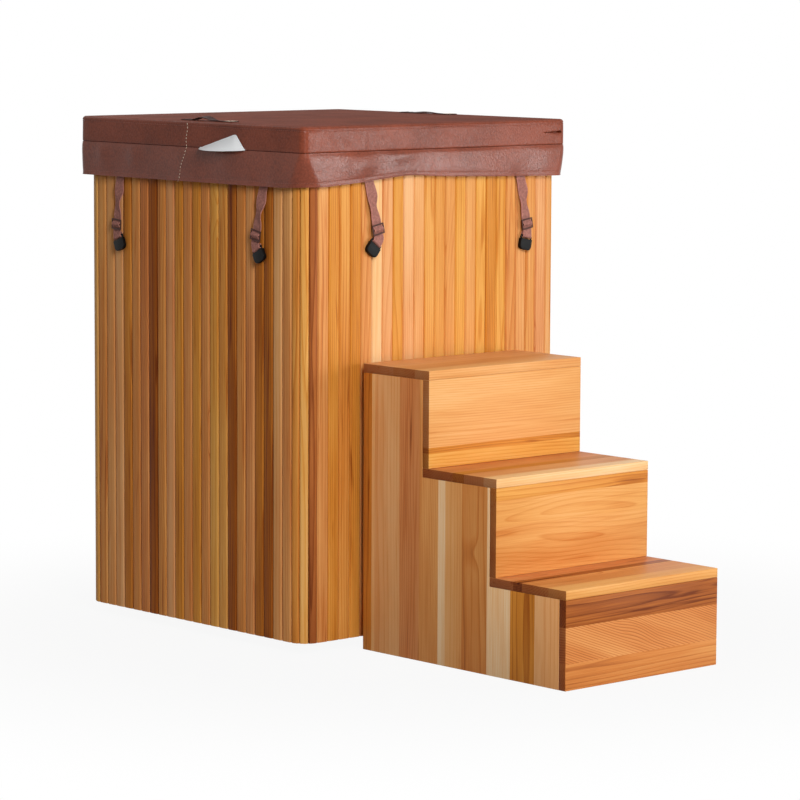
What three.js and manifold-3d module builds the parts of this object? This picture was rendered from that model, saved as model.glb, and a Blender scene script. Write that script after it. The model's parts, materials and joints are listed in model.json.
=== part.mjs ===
// Cold plunge tub: a tall square cedar cabinet round a plastic vessel, with a padded vinyl lid held
// down by webbing straps, a drain valve at the back and a free-standing three-step cedar stair.
//
// Millimetres, +Z up. The origin is on the floor under the middle of the cabinet. +X runs along the
// front to the right and +Y from the front to the back. The stair stands in front, on the -Y side.

import * as THREE from 'three';
import { mergeVertices } from 'three/addons/utils/BufferGeometryUtils.js';
import Module from 'manifold-3d';

const wasm = await Module();
wasm.setup();

// Clearance between pieces that touch
const FIT = 0.3;

// Cabinet: staves, runners, deck and frame
const CABINET_WIDTH = 740;
const CABINET_DEPTH = 740;
const CABINET_CORNER = 40;
const STAVE_THICKNESS = 18;
const STAVE_WIDTH = 30;
const CORNER_STAVES = 3;
const GROOVE_WIDTH = 4;
const GROOVE_DEPTH = 2;
const RUNNER_HEIGHT = 23;
const RUNNER_WIDTH = 70;
const RUNNER_SETBACK = 150;
const DECK_THICKNESS = 30;
const RING_WIDTH = 40;
const RING_HEIGHT = 36;
const POST_SIZE = 40;

// Vessel
const RIM_HEIGHT = 1050;
const RIM_THICKNESS = 6;
const RIM_SETBACK = 9;
const RIM_EASE = 2;
const VESSEL_WALL = 6;
const VESSEL_CORNER = 60;
const VESSEL_FILLET = 24;

// Lid: padded panel, skirt, handles and tag
const LID_CORNER = 15;
const LID_EDGE = 7;
const LID_CROWN = 4;
const PANEL_THICKNESS = 55;
const VINYL_THICKNESS = 2;
const SKIRT_DROP = 73;
const SKIRT_FLARE = 2;
const FOLD_DEPTH = 3;
const FOLD_SPACING = 160;
const HEM_LIFT = 19.5;
const HEM_LIFT_END = 5.5;
const HEM_LIFT_SPAN = 270;
const HEM_LIFT_OFFSET = -85;
const HANDLE_INSET = 40;
const HANDLE_LENGTH = 167;
const HANDLE_OFFSET = 26;
const HANDLE_PAD = 26;
const HANDLE_RISE = 7;
const TAG_LENGTH = 150;
const TAG_HEIGHT = 33;
const TAG_PEAK = 26;
const TAG_THICKNESS = 0.8;
const TAG_LEAN = 3;
const TAG_OFFSET = 118;

// Straps: webbing, slider and clip
const WEB_WIDTH = 25;
const WEB_THICKNESS = 1.6;
const STRAP_DROP = 104;
const STRAP_TUCK = 2;
const SLIDER_BAR = 3;
const SLIDER_PLAY = 2.4;
const SLIDER_THICKNESS = 2.4;
const SLIDER_RIM = 3;
const CLIP_REACH = 12;
const CLIP_WIDTH = 33;
const CLIP_BODY = 24;
const CLIP_THICKNESS = 9;
const CLIP_BAR = 3;
const CLIP_PLAY = 2;
const CLIP_ROUND = 9;
const CLIP_TO_STAVES = 2.4;

// Drain, low in the middle of the back
const DRAIN_LIFT = 40;
const DRAIN_BORE = 14;
const DRAIN_PIPE = 20;
const DRAIN_FLANGE = 34;
const DRAIN_FLANGE_THICKNESS = 4;
const DRAIN_REACH = 26;
const STRAINER_DOME = 9;
const STRAINER_WALL = 2.5;
const STRAINER_SLOT = 4;
const STRAINER_SLOTS = 5;
const VALVE_LENGTH = 44;
const VALVE_RADIUS = 27;
const VALVE_NECK = 4;
const SPOUT_LENGTH = 22;
const STEM_RADIUS = 8;
const STEM_RISE = 14;
const LEVER_LENGTH = 92;
const LEVER_WIDTH = 18;
const LEVER_THICKNESS = 5;

// Stair
const STAIR_GAP = 20;
const STAIR_WIDTH = 441;
const STEP_COUNT = 3;
const STEP_RISE = 203;
const STEP_GOING = 203;
const BOARD = 19;
const RAIL_HEIGHT = 80;
const RAIL_LIFT = 15;

// Faceting of round stretches
const CORNER_STEPS = 5;
const EDGE_STEPS = 3;
const ROUND_STEPS = 24;

// Two straps hang on each side of the lid, by its left and right corner as that side is faced. inset
// is the distance from that corner, lean the hang of the webbing and clipLean that of the clip, both
// in degrees towards the right.
const SIDES = ['front', 'right', 'back', 'left'];
const FRONT_STRAPS = [
  { end: 'a', corner: -1, inset: 187, lean: 12, clipLean: -38 },
  { end: 'b', corner: 1, inset: 132, lean: 9, clipLean: -13 },
];
const FLANK_STRAPS = [
  { end: 'a', corner: -1, inset: 137, lean: -4, clipLean: 21 },
  { end: 'b', corner: 1, inset: 135, lean: -11, clipLean: 29 },
];

// Levels and half sizes worked out from the above
const cabinetHalfX = CABINET_WIDTH / 2;
const cabinetHalfY = CABINET_DEPTH / 2;
const staveBottom = RUNNER_HEIGHT + FIT;
const deckTop = staveBottom + DECK_THICKNESS;
const rimUnderside = RIM_HEIGHT - RIM_THICKNESS;
const cabinetTop = rimUnderside - FIT;
const frameInset = STAVE_THICKNESS + FIT;
const vesselInset = frameInset + RING_WIDTH + FIT;
const vesselBottom = deckTop + FIT;
const lowerRingTop = deckTop + FIT + RING_HEIGHT;
const upperRingBottom = cabinetTop - RING_HEIGHT;
const drainHeight = lowerRingTop + DRAIN_LIFT;
const strapStandoff = CLIP_TO_STAVES + CLIP_THICKNESS / 2;
const lidOverhang = strapStandoff + WEB_THICKNESS / 2 + FIT + VINYL_THICKNESS;
const lidHalfX = cabinetHalfX + lidOverhang;
const lidHalfY = cabinetHalfY + lidOverhang;
const linerBottom = RIM_HEIGHT + FIT;
const seamHeight = linerBottom + VINYL_THICKNESS + FIT;
const lidTop = seamHeight + PANEL_THICKNESS;
const skirtTop = seamHeight - FIT;
const hemHeight = skirtTop - SKIRT_DROP;
const drainWallY = cabinetHalfY - vesselInset - VESSEL_WALL;
const drainPipeEnd = cabinetHalfY + DRAIN_REACH;
const stairBack = -cabinetHalfY - STAIR_GAP;
const stairHalf = STAIR_WIDTH / 2;

// Finishes
function finish(color, roughness, metalness = 0) {
  return new THREE.MeshStandardMaterial({ color, roughness, metalness });
}

const CEDAR = finish(0xc4813f, 0.55);
const CEDAR_STAIR = finish(0xd79a5c, 0.5);
const SOFTWOOD = finish(0xb9935f, 0.75);
const VINYL = finish(0x8a5245, 0.45);
const FOAM = finish(0xe6e3da, 0.9);
const VESSEL_PLASTIC = finish(0xdfe4e4, 0.35);
const WEBBING = finish(0x7a4a40, 0.8);
const BLACK_PLASTIC = finish(0x1c1a19, 0.4);
const TAG_SHEET = finish(0xeef2f4, 0.6);
const PIPE_PLASTIC = finish(0xb8bcbc, 0.4);
const VALVE_BRASS = finish(0xb39a56, 0.35, 1);
const LEVER_PAINT = finish(0xa5302a, 0.4);

const radians = THREE.MathUtils.degToRad;
const point = (x, y, z) => new THREE.Vector3(x, y, z);

function node(name, geometry, material) {
  const mesh = new THREE.Mesh(geometry, material);
  mesh.name = name;
  return mesh;
}

// A closed surface from vertices and triangles, turned so that its faces point out
function closedSurface(vertices, triangles) {
  let volume = 0;
  for (const [a, b, c] of triangles) {
    volume += vertices[a].dot(vertices[b].clone().cross(vertices[c]));
  }
  const outward = volume < 0 ? triangles.map(([a, b, c]) => [a, c, b]) : triangles;
  const geometry = new THREE.BufferGeometry().setFromPoints(vertices);
  geometry.setIndex(outward.flat());
  return geometry;
}

// A skin over a row of rings that all have as many points. A ring of one point closes an end,
// and a looped skin joins its last ring to its first.
function skin(rings, looped = false) {
  const vertices = [];
  const triangles = [];
  const starts = rings.map((ring) => vertices.push(...ring) - ring.length);
  const bands = looped ? rings.length : rings.length - 1;
  for (let band = 0; band < bands; band += 1) {
    const next = (band + 1) % rings.length;
    const count = Math.max(rings[band].length, rings[next].length);
    const vertex = (ring, step) => starts[ring] + (step % count) % rings[ring].length;
    for (let step = 0; step < count; step += 1) {
      const low = [vertex(band, step), vertex(band, step + 1)];
      const high = [vertex(next, step), vertex(next, step + 1)];
      if (rings[band].length > 1) triangles.push([low[0], low[1], high[0]]);
      if (rings[next].length > 1) triangles.push([low[1], high[1], high[0]]);
    }
  }
  return closedSurface(vertices, triangles);
}

// Places along the flat stretch of a side, in even steps from its left end
const evenly = (steps) => (flat) => {
  return Array.from({ length: steps }, (_, step) => flat * ((2 * step) / steps - 1));
};

// Stations round a rounded rectangle, anticlockwise from the left end of the front, each with its
// outward direction, the side it is on and how far along that side it lies
function stations(halfX, halfY, radius, placesAlong = evenly(1)) {
  const list = [];
  SIDES.forEach((_, side) => {
    const [across, out] = side % 2 ? [halfY, halfX] : [halfX, halfY];
    const flat = across - radius;
    const place = (u, v, angle) => {
      const turn = (side * Math.PI) / 2;
      const [cos, sin] = [Math.cos(turn), Math.sin(turn)];
      const [nx, ny] = [Math.sin(turn + angle), -Math.cos(turn + angle)];
      list.push({ x: u * cos - v * sin, y: u * sin + v * cos, nx, ny, side, along: u });
    };
    for (const along of placesAlong(flat, side)) place(along, -out, 0);
    for (let step = 0; step < CORNER_STEPS; step += 1) {
      const angle = (Math.PI / 2) * (step / CORNER_STEPS);
      place(flat + radius * Math.sin(angle), -out + radius - radius * Math.cos(angle), angle);
    }
  });
  return list;
}

function ring(halfX, halfY, radius, z, placesAlong) {
  return stations(halfX, halfY, radius, placesAlong).map(({ x, y }) => point(x, y, z));
}

function roundedOutline(halfX, halfY, radius) {
  const corners = stations(halfX, halfY, radius);
  return corners.map(({ x, y }) => new THREE.Vector2(x, y));
}

function slab(outline, bottom, top, hole) {
  const shape = new THREE.Shape(outline);
  if (hole) shape.holes.push(new THREE.Path(hole));
  const geometry = new THREE.ExtrudeGeometry(shape, { depth: top - bottom, bevelEnabled: false });
  return geometry.translate(0, 0, bottom);
}

function board(minX, maxX, minY, maxY, minZ, maxZ) {
  const geometry = new THREE.BoxGeometry(maxX - minX, maxY - minY, maxZ - minZ);
  return geometry.translate((minX + maxX) / 2, (minY + maxY) / 2, (minZ + maxZ) / 2);
}

// Joins and cuts
function solid(geometry) {
  const plain = geometry.clone();
  plain.deleteAttribute('normal');
  plain.deleteAttribute('uv');
  const merged = mergeVertices(plain);
  const vertProperties = new Float32Array(merged.attributes.position.array);
  const triVerts = new Uint32Array(merged.index.array);
  return new wasm.Manifold(new wasm.Mesh({ numProp: 3, vertProperties, triVerts }));
}

function surface(body) {
  const { vertProperties, triVerts } = body.getMesh();
  const geometry = new THREE.BufferGeometry();
  geometry.setAttribute('position', new THREE.BufferAttribute(vertProperties, 3));
  geometry.setIndex(new THREE.BufferAttribute(triVerts, 1));
  return geometry;
}

function cut(geometry, ...tools) {
  return surface(tools.reduce((body, tool) => body.subtract(solid(tool)), solid(geometry)));
}

function join(geometry, ...others) {
  return surface(others.reduce((body, other) => body.add(solid(other)), solid(geometry)));
}

// Turned pieces lie along Y, as the drain does
function turned(profile, steps = ROUND_STEPS) {
  const points = profile.map(([radius, y]) => new THREE.Vector2(radius, y));
  const geometry = new THREE.LatheGeometry(points, steps);
  geometry.deleteAttribute('normal');
  geometry.deleteAttribute('uv');
  const merged = mergeVertices(geometry);
  const vertices = [];
  const { position } = merged.attributes;
  for (let index = 0; index < position.count; index += 1) {
    vertices.push(new THREE.Vector3().fromBufferAttribute(position, index));
  }
  const triangles = [];
  for (let corner = 0; corner < merged.index.count; corner += 3) {
    const triangle = [0, 1, 2].map((offset) => merged.index.getX(corner + offset));
    if (new Set(triangle).size === triangle.length) triangles.push(triangle);
  }
  return closedSurface(vertices, triangles);
}

const drainCut = () => {
  const length = 2 * CABINET_DEPTH;
  const hole = new THREE.CylinderGeometry(DRAIN_PIPE + FIT, DRAIN_PIPE + FIT, length, ROUND_STEPS);
  return hole.translate(0, length / 2, drainHeight);
};

// Cabinet

// Plan of one side's staves and of the corner at its right, faced from outside: u to the right, v out
function stavePlan(across) {
  const flat = across - CABINET_CORNER;
  const count = Math.max(1, Math.round((2 * flat) / STAVE_WIDTH));
  const pitch = (2 * flat) / count;
  const half = GROOVE_WIDTH / 2;
  const onCorner = (radius, angle) => {
    const [u, v] = [radius * Math.sin(angle), radius * Math.cos(angle) - CABINET_CORNER];
    return new THREE.Vector2(flat + u, v);
  };
  const outline = [new THREE.Vector2(-flat + FIT, -GROOVE_DEPTH), new THREE.Vector2(-flat + half, 0)];
  for (let joint = 1; joint < count; joint += 1) {
    const u = -flat + joint * pitch;
    outline.push(new THREE.Vector2(u - half, 0));
    outline.push(new THREE.Vector2(u, -GROOVE_DEPTH));
    outline.push(new THREE.Vector2(u + half, 0));
  }
  outline.push(new THREE.Vector2(flat - half, 0));
  const sweep = Math.PI / 2 / CORNER_STAVES;
  const ease = half / CABINET_CORNER;
  for (let stave = 0; stave < CORNER_STAVES; stave += 1) {
    const angle = stave * sweep;
    outline.push(onCorner(CABINET_CORNER - GROOVE_DEPTH, angle));
    outline.push(onCorner(CABINET_CORNER, angle + ease));
    outline.push(onCorner(CABINET_CORNER, angle + sweep / 2));
    outline.push(onCorner(CABINET_CORNER, angle + sweep - ease));
  }
  outline.push(onCorner(CABINET_CORNER - GROOVE_DEPTH, Math.PI / 2));
  const innerRadius = CABINET_CORNER - STAVE_THICKNESS;
  for (let step = CORNER_STEPS; step >= 0; step -= 1) {
    outline.push(onCorner(innerRadius, (Math.PI / 2) * (step / CORNER_STEPS)));
  }
  outline.push(new THREE.Vector2(-flat + FIT, -STAVE_THICKNESS));
  return outline;
}

// The four sides share one way of placing: a group turned so that its -Y faces out of that side
function sideGroup(side, ...meshes) {
  const group = new THREE.Group();
  group.rotation.z = (side * Math.PI) / 2;
  group.add(...meshes);
  return group;
}

const sideAcross = (side) => (side % 2 ? cabinetHalfY : cabinetHalfX);
const sideOut = (side) => (side % 2 ? cabinetHalfX : cabinetHalfY);

function cladding(side) {
  const plan = stavePlan(sideAcross(side)).map(({ x, y }) => new THREE.Vector2(x, -sideOut(side) - y));
  const panel = slab(plan, staveBottom, cabinetTop);
  const turn = (side * Math.PI) / 2;
  const geometry = SIDES[side] === 'back' ? cut(panel, drainCut().rotateZ(-turn)) : panel;
  return sideGroup(side, node(`cladding_${SIDES[side]}`, geometry, CEDAR));
}

function runners() {
  const length = CABINET_DEPTH - 2 * RUNNER_SETBACK;
  const reach = cabinetHalfX - RUNNER_SETBACK - RUNNER_WIDTH / 2;
  return [['left', -reach], ['centre', 0], ['right', reach]].map(([name, x]) => {
    const half = RUNNER_WIDTH / 2;
    const bar = board(x - half, x + half, -length / 2, length / 2, 0, RUNNER_HEIGHT);
    return node(`runner_${name}`, bar, SOFTWOOD);
  });
}

function insetOutline(inset, radius) {
  return roundedOutline(cabinetHalfX - inset, cabinetHalfY - inset, radius);
}

const frameCorner = CABINET_CORNER - frameInset;
const ringHole = () => insetOutline(frameInset + RING_WIDTH, VESSEL_CORNER + FIT);

function baseDeck() {
  return node('base_deck', slab(insetOutline(frameInset, frameCorner), staveBottom, deckTop), SOFTWOOD);
}

function frameRing(name, bottom) {
  const outline = insetOutline(frameInset, frameCorner);
  return node(`frame_ring_${name}`, slab(outline, bottom, bottom + RING_HEIGHT, ringHole()), SOFTWOOD);
}

// A square post with its outer edge rounded to lie in the corner of the staves
function framePosts() {
  const reach = POST_SIZE - frameCorner;
  const arc = [];
  for (let step = 0; step <= CORNER_STEPS; step += 1) {
    const angle = (Math.PI / 2) * (step / CORNER_STEPS);
    arc.push([reach + frameCorner * Math.cos(angle), reach + frameCorner * Math.sin(angle)]);
  }
  const section = [[0, 0], [POST_SIZE, 0], ...arc, [0, POST_SIZE]];
  const [cornerX, cornerY] = [cabinetHalfX - frameInset - POST_SIZE, cabinetHalfY - frameInset - POST_SIZE];
  const places = [['front_left', -1, -1], ['front_right', 1, -1], ['back_right', 1, 1], ['back_left', -1, 1]];
  return places.map(([name, signX, signY]) => {
    const outline = section.map(([x, y]) => new THREE.Vector2(signX * (cornerX + x), signY * (cornerY + y)));
    return node(`frame_post_${name}`, slab(outline, lowerRingTop + FIT, upperRingBottom - FIT), SOFTWOOD);
  });
}

// Insulation fills the frame round the vessel, notched at its corners for the posts
function insulation() {
  const [outX, outY] = [cabinetHalfX - frameInset, cabinetHalfY - frameInset];
  const notch = POST_SIZE + FIT;
  const [inX, inY] = [outX - notch, outY - notch];
  const outline = [
    [inX, -outY], [inX, -inY], [outX, -inY], [outX, inY], [inX, inY], [inX, outY],
    [-inX, outY], [-inX, inY], [-outX, inY], [-outX, -inY], [-inX, -inY], [-inX, -outY],
  ].map(([x, y]) => new THREE.Vector2(x, y));
  const wrap = slab(outline, lowerRingTop + FIT, upperRingBottom - FIT, ringHole());
  return node('insulation_wrap', cut(wrap, drainCut()), FOAM);
}

// Vessel: an open box with rounded corners and floor, and a rim that lies on the frame and staves
function vessel() {
  const wall = (inset, radius, z) => ring(cabinetHalfX - inset, cabinetHalfY - inset, radius, z);
  const outside = vesselInset;
  const inside = vesselInset + VESSEL_WALL;
  const insideCorner = VESSEL_CORNER - VESSEL_WALL;
  const insideFillet = VESSEL_FILLET - VESSEL_WALL;
  const floor = vesselBottom + VESSEL_WALL;
  const rimCorner = CABINET_CORNER - RIM_SETBACK;
  const bend = (inset, corner, fillet, bottom, step) => {
    const angle = (Math.PI / 2) * (step / EDGE_STEPS);
    const [drawn, lift] = [fillet * (1 - Math.sin(angle)), fillet * (1 - Math.cos(angle))];
    return wall(inset + drawn, corner - drawn, bottom + lift);
  };
  const rings = [[point(0, 0, vesselBottom)]];
  for (let step = 0; step <= EDGE_STEPS; step += 1) {
    rings.push(bend(outside, VESSEL_CORNER, VESSEL_FILLET, vesselBottom, step));
  }
  rings.push(wall(outside, VESSEL_CORNER, rimUnderside));
  rings.push(wall(RIM_SETBACK, rimCorner, rimUnderside));
  rings.push(wall(RIM_SETBACK, rimCorner, RIM_HEIGHT));
  rings.push(wall(inside - RIM_EASE, insideCorner + RIM_EASE, RIM_HEIGHT));
  rings.push(wall(inside, insideCorner, RIM_HEIGHT - RIM_EASE));
  for (let step = EDGE_STEPS; step >= 0; step -= 1) {
    rings.push(bend(inside, insideCorner, insideFillet, floor, step));
  }
  rings.push([point(0, 0, floor)]);
  return node('vessel', cut(skin(rings), drainCut()), VESSEL_PLASTIC);
}

// Drain

function drainFitting() {
  const seat = drainWallY - FIT;
  const face = seat - DRAIN_FLANGE_THICKNESS;
  const profile = [
    [DRAIN_BORE, face], [DRAIN_FLANGE, face], [DRAIN_FLANGE, seat], [DRAIN_PIPE, seat],
    [DRAIN_PIPE, drainPipeEnd], [DRAIN_BORE, drainPipeEnd], [DRAIN_BORE, face],
  ];
  return node('drain_fitting', turned(profile).translate(0, 0, drainHeight), PIPE_PLASTIC);
}

// A slotted dome over the drain's mouth, inside the vessel
function drainStrainer() {
  const seat = drainWallY - FIT - DRAIN_FLANGE_THICKNESS - FIT;
  const crown = seat - STRAINER_DOME;
  const inner = DRAIN_FLANGE - STRAINER_WALL;
  const shoulder = DRAIN_FLANGE - STRAINER_DOME;
  const profile = [
    [0, crown], [shoulder, crown], [DRAIN_FLANGE, seat], [inner, seat],
    [shoulder - STRAINER_WALL, crown + STRAINER_WALL], [0, crown + STRAINER_WALL],
  ];
  const spacing = (2 * shoulder) / (STRAINER_SLOTS + 1);
  const slots = [];
  for (let slot = 1; slot <= STRAINER_SLOTS; slot += 1) {
    const x = -shoulder + slot * spacing;
    const half = Math.sqrt(shoulder ** 2 - x ** 2) - 2 * STRAINER_WALL;
    slots.push(board(x - STRAINER_SLOT / 2, x + STRAINER_SLOT / 2, crown - FIT, seat, -half, half));
  }
  return node('drain_strainer', cut(turned(profile), ...slots).translate(0, 0, drainHeight), PIPE_PLASTIC);
}

const valveStart = drainPipeEnd + FIT;
const stemY = valveStart + VALVE_LENGTH / 2;
const stemTop = VALVE_RADIUS + STEM_RISE;

// Ball valve, shut, so its spout is a blind bore
function drainValve() {
  const end = valveStart + VALVE_LENGTH;
  const neck = DRAIN_PIPE + VALVE_NECK;
  const profile = [
    [0, valveStart], [neck, valveStart], [VALVE_RADIUS, valveStart + VALVE_NECK],
    [VALVE_RADIUS, end - VALVE_NECK], [neck, end], [DRAIN_PIPE, end], [DRAIN_PIPE, end + SPOUT_LENGTH],
    [DRAIN_BORE, end + SPOUT_LENGTH], [DRAIN_BORE, end - VALVE_NECK], [0, end - VALVE_NECK],
  ];
  const height = stemTop - VALVE_RADIUS / 2;
  const stem = new THREE.CylinderGeometry(STEM_RADIUS, STEM_RADIUS, height, ROUND_STEPS);
  stem.rotateX(Math.PI / 2).translate(0, stemY, stemTop - height / 2);
  return node('drain_valve', join(turned(profile), stem).translate(0, 0, drainHeight), VALVE_BRASS);
}

// Lever across the pipe when shut, turned a quarter to lie along it when open
function drainLever() {
  const half = LEVER_WIDTH / 2;
  const outline = new THREE.Shape();
  outline.absarc(0, 0, half, Math.PI / 2, (3 * Math.PI) / 2);
  outline.absarc(LEVER_LENGTH - half, 0, half, -Math.PI / 2, Math.PI / 2);
  const geometry = new THREE.ExtrudeGeometry(outline, {
    depth: LEVER_THICKNESS, bevelEnabled: false, curveSegments: CORNER_STEPS,
  });
  geometry.translate(0, stemY, drainHeight + stemTop + FIT);
  return node('drain_lever', geometry, LEVER_PAINT);
}

// Lid

const CROWN_RINGS = [0.4, 0.75];
const PANEL_SIDE = evenly(4);

// The panel's skin from the middle of its top to its seam, set in by the given amount. The crown is
// told by how far each ring lies from the middle to the edge.
function panelRings(inset) {
  const [halfX, halfY] = [lidHalfX - inset, lidHalfY - inset];
  const top = lidTop - inset;
  const edge = Math.max(LID_EDGE - inset, FIT);
  const corner = Math.max(LID_CORNER - inset, edge + FIT);
  const lay = (drawn, z) => ring(halfX - drawn, halfY - drawn, corner - drawn, z, PANEL_SIDE);
  const rings = [[point(0, 0, top + LID_CROWN)]];
  for (const share of CROWN_RINGS) {
    const height = top + crownAt(share);
    rings.push(ring(halfX * share, halfY * share, corner * share, height, PANEL_SIDE));
  }
  for (let step = 0; step <= EDGE_STEPS; step += 1) {
    const angle = (Math.PI / 2) * (step / EDGE_STEPS);
    rings.push(lay(edge * (1 - Math.sin(angle)), top - edge * (1 - Math.cos(angle))));
  }
  rings.push(lay(0, seamHeight));
  return rings;
}

function crownAt(share) {
  return LID_CROWN * (1 - share ** 2) ** 2;
}

// Height of the faceted crown, which a handle's end lies on
function lidSurface(x) {
  const share = Math.abs(x) / lidHalfX;
  const stops = [[0, LID_CROWN], ...CROWN_RINGS.map((stop) => [stop, crownAt(stop)]), [1, 0]];
  const next = stops.findIndex(([stop]) => stop >= share);
  const [[fromStop, fromRise], [toStop, toRise]] = [stops[next - 1], stops[next]];
  return lidTop + THREE.MathUtils.mapLinear(share, fromStop, toStop, fromRise, toRise);
}

function lidJacket() {
  const inner = panelRings(VINYL_THICKNESS).reverse();
  return node('lid_jacket', skin([...panelRings(0), ...inner]), VINYL);
}

function lidFoam() {
  const rings = panelRings(VINYL_THICKNESS + FIT);
  return node('lid_foam', skin([...rings, [point(0, 0, seamHeight)]]), FOAM);
}

function lidLiner() {
  const inset = VINYL_THICKNESS + FIT;
  const outline = roundedOutline(lidHalfX - inset, lidHalfY - inset, LID_CORNER - inset);
  return node('lid_liner', slab(outline, linerBottom, linerBottom + VINYL_THICKNESS), VINYL);
}

const lidAcross = (side) => (side % 2 ? lidHalfY : lidHalfX);

// The hem of the skirt is drawn up left of the middle of the front. It comes down slowly to the right,
// and round the corner to the level of the other sides.
function hemAt(side, along) {
  const ease = (from) => (1 + Math.cos(Math.PI * Math.min(from / HEM_LIFT_SPAN, 1))) / 2;
  const from = along - HEM_LIFT_OFFSET;
  if (SIDES[side] === 'right') return hemHeight + HEM_LIFT_END * ease(along + lidAcross(side));
  if (SIDES[side] !== 'front') return hemHeight;
  if (from < 0) return hemHeight + HEM_LIFT * ease(-from);
  const share = Math.sin((Math.PI / 2) * (from / (lidAcross(side) - HEM_LIFT_OFFSET)));
  return hemHeight + THREE.MathUtils.lerp(HEM_LIFT, HEM_LIFT_END, share);
}

function sideStraps(side) {
  const straps = side % 2 ? FLANK_STRAPS : FRONT_STRAPS;
  return straps.map((strap) => ({ ...strap, along: strap.corner * (lidAcross(side) - strap.inset) }));
}

// The skirt lies flat at its corners and where a strap is sewn to it, and swells in folds between
function skirtFolds(flat, side) {
  const held = [-flat, ...sideStraps(side).map(({ along }) => along), flat];
  return held.slice(1).flatMap((to, bay) => {
    const from = held[bay];
    const count = Math.max(1, Math.round((to - from) / FOLD_SPACING));
    const width = (to - from) / count;
    return Array.from({ length: count }, (_, fold) => ({ from: from + fold * width, width }));
  });
}

const FOLD_STEPS = 4;

const skirtPlaces = (flat, side) => skirtFolds(flat, side).flatMap(({ from, width }) => {
  return Array.from({ length: FOLD_STEPS }, (_, step) => from + (width * step) / FOLD_STEPS);
});

function foldAt(side, along) {
  const across = lidAcross(side);
  const fold = skirtFolds(across - LID_CORNER, side).find(({ from, width }) => along < from + width);
  const swell = fold ? Math.sin((Math.PI * (along - fold.from)) / fold.width) ** 2 : 0;
  return SKIRT_FLARE * (along / across) ** 8 + FOLD_DEPTH * swell;
}

const SKIRT_ROWS = 4;

function lidSkirt() {
  const round = stations(lidHalfX, lidHalfY, LID_CORNER, skirtPlaces);
  const row = (share, inset) => round.map(({ x, y, nx, ny, side, along }) => {
    const out = foldAt(side, along) * Math.sin((Math.PI / 2) * share) - inset;
    return point(x + nx * out, y + ny * out, THREE.MathUtils.lerp(skirtTop, hemAt(side, along), share));
  });
  const outer = [];
  const inner = [];
  for (let step = 0; step <= SKIRT_ROWS; step += 1) {
    outer.push(row(step / SKIRT_ROWS, 0));
    inner.unshift(row(step / SKIRT_ROWS, VINYL_THICKNESS));
  }
  return node('lid_skirt', skin([...outer, ...inner], true), VINYL);
}

const MITRE_LIMIT = 0.5;

// A flat band along a path. Each stop has a place, the direction across the band there, and how much
// wider the band is drawn where it turns sideways.
function band(stops, width, thickness) {
  const rings = stops.map(({ place, across, stretch = 1 }, index) => {
    const before = stops[Math.max(index - 1, 0)].place;
    const after = stops[Math.min(index + 1, stops.length - 1)].place;
    const into = place.clone().sub(before).normalize();
    const onward = after.clone().sub(place).normalize();
    const along = into.clone().add(onward).normalize();
    const face = along.clone().cross(across).normalize();
    const mitre = index && index < stops.length - 1 ? Math.max(along.dot(onward), MITRE_LIMIT) : 1;
    const side = across.clone().multiplyScalar((stretch * width) / 2);
    const deep = face.multiplyScalar(thickness / 2 / mitre);
    const [outer, inner] = [place.clone().add(deep), place.clone().sub(deep)];
    const corners = [outer.clone().add(side), outer.clone().sub(side)];
    return [...corners, inner.clone().sub(side), inner.clone().add(side)];
  });
  const middle = ([first, , opposite]) => [first.clone().lerp(opposite, 0.5)];
  return skin([middle(rings[0]), ...rings, middle(rings[rings.length - 1])]);
}

const HANDLE_ARCH_STEPS = 10;

// Slack webbing loop, sewn down at both ends
function lidHandle(name, sign) {
  const x = sign * (lidHalfX - HANDLE_INSET);
  const seat = lidSurface(x - sign * (WEB_WIDTH / 2)) + FIT + WEB_THICKNESS / 2;
  const half = HANDLE_LENGTH / 2;
  const span = half - HANDLE_PAD;
  const stop = (y, rise) => ({ place: point(x, sign * HANDLE_OFFSET + y, seat + rise), across: point(1, 0, 0) });
  const stops = [stop(-half, 0)];
  for (let step = 0; step <= HANDLE_ARCH_STEPS; step += 1) {
    const share = (2 * step) / HANDLE_ARCH_STEPS - 1;
    stops.push(stop(span * share, (HANDLE_RISE * (1 + Math.cos(Math.PI * share))) / 2));
  }
  stops.push(stop(half, 0));
  return node(`lid_handle_${name}`, band(stops, WEB_WIDTH, WEB_THICKNESS), WEBBING);
}

// Blank tag sewn into the seam on the left, standing up in a point and leaning out
function lidTag() {
  const outline = [[-TAG_LENGTH / 2, 0], [TAG_LENGTH / 2, 0], [TAG_LENGTH / 2 - TAG_PEAK, TAG_HEIGHT]];
  const shape = new THREE.Shape(outline.map(([x, y]) => new THREE.Vector2(x, y)));
  const geometry = new THREE.ExtrudeGeometry(shape, { depth: TAG_THICKNESS, bevelEnabled: false });
  geometry.rotateX(Math.PI / 2 + radians(TAG_LEAN)).translate(TAG_OFFSET, -lidHalfX - FIT, seamHeight);
  return sideGroup(SIDES.indexOf('left'), node('lid_tag', geometry, TAG_SHEET));
}

// Straps

const sliderStandoff = SLIDER_THICKNESS / 2 + FIT + WEB_THICKNESS / 2;
const sliderSlot = 2 * sliderStandoff + SLIDER_PLAY;
const sliderHeight = 3 * SLIDER_BAR + 2 * sliderSlot;
const LOOP_STEPS = 4;
const clipLoop = (CLIP_BAR * Math.SQRT1_2 + FIT + WEB_THICKNESS / 2) / Math.cos(Math.PI / 2 / LOOP_STEPS);

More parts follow.
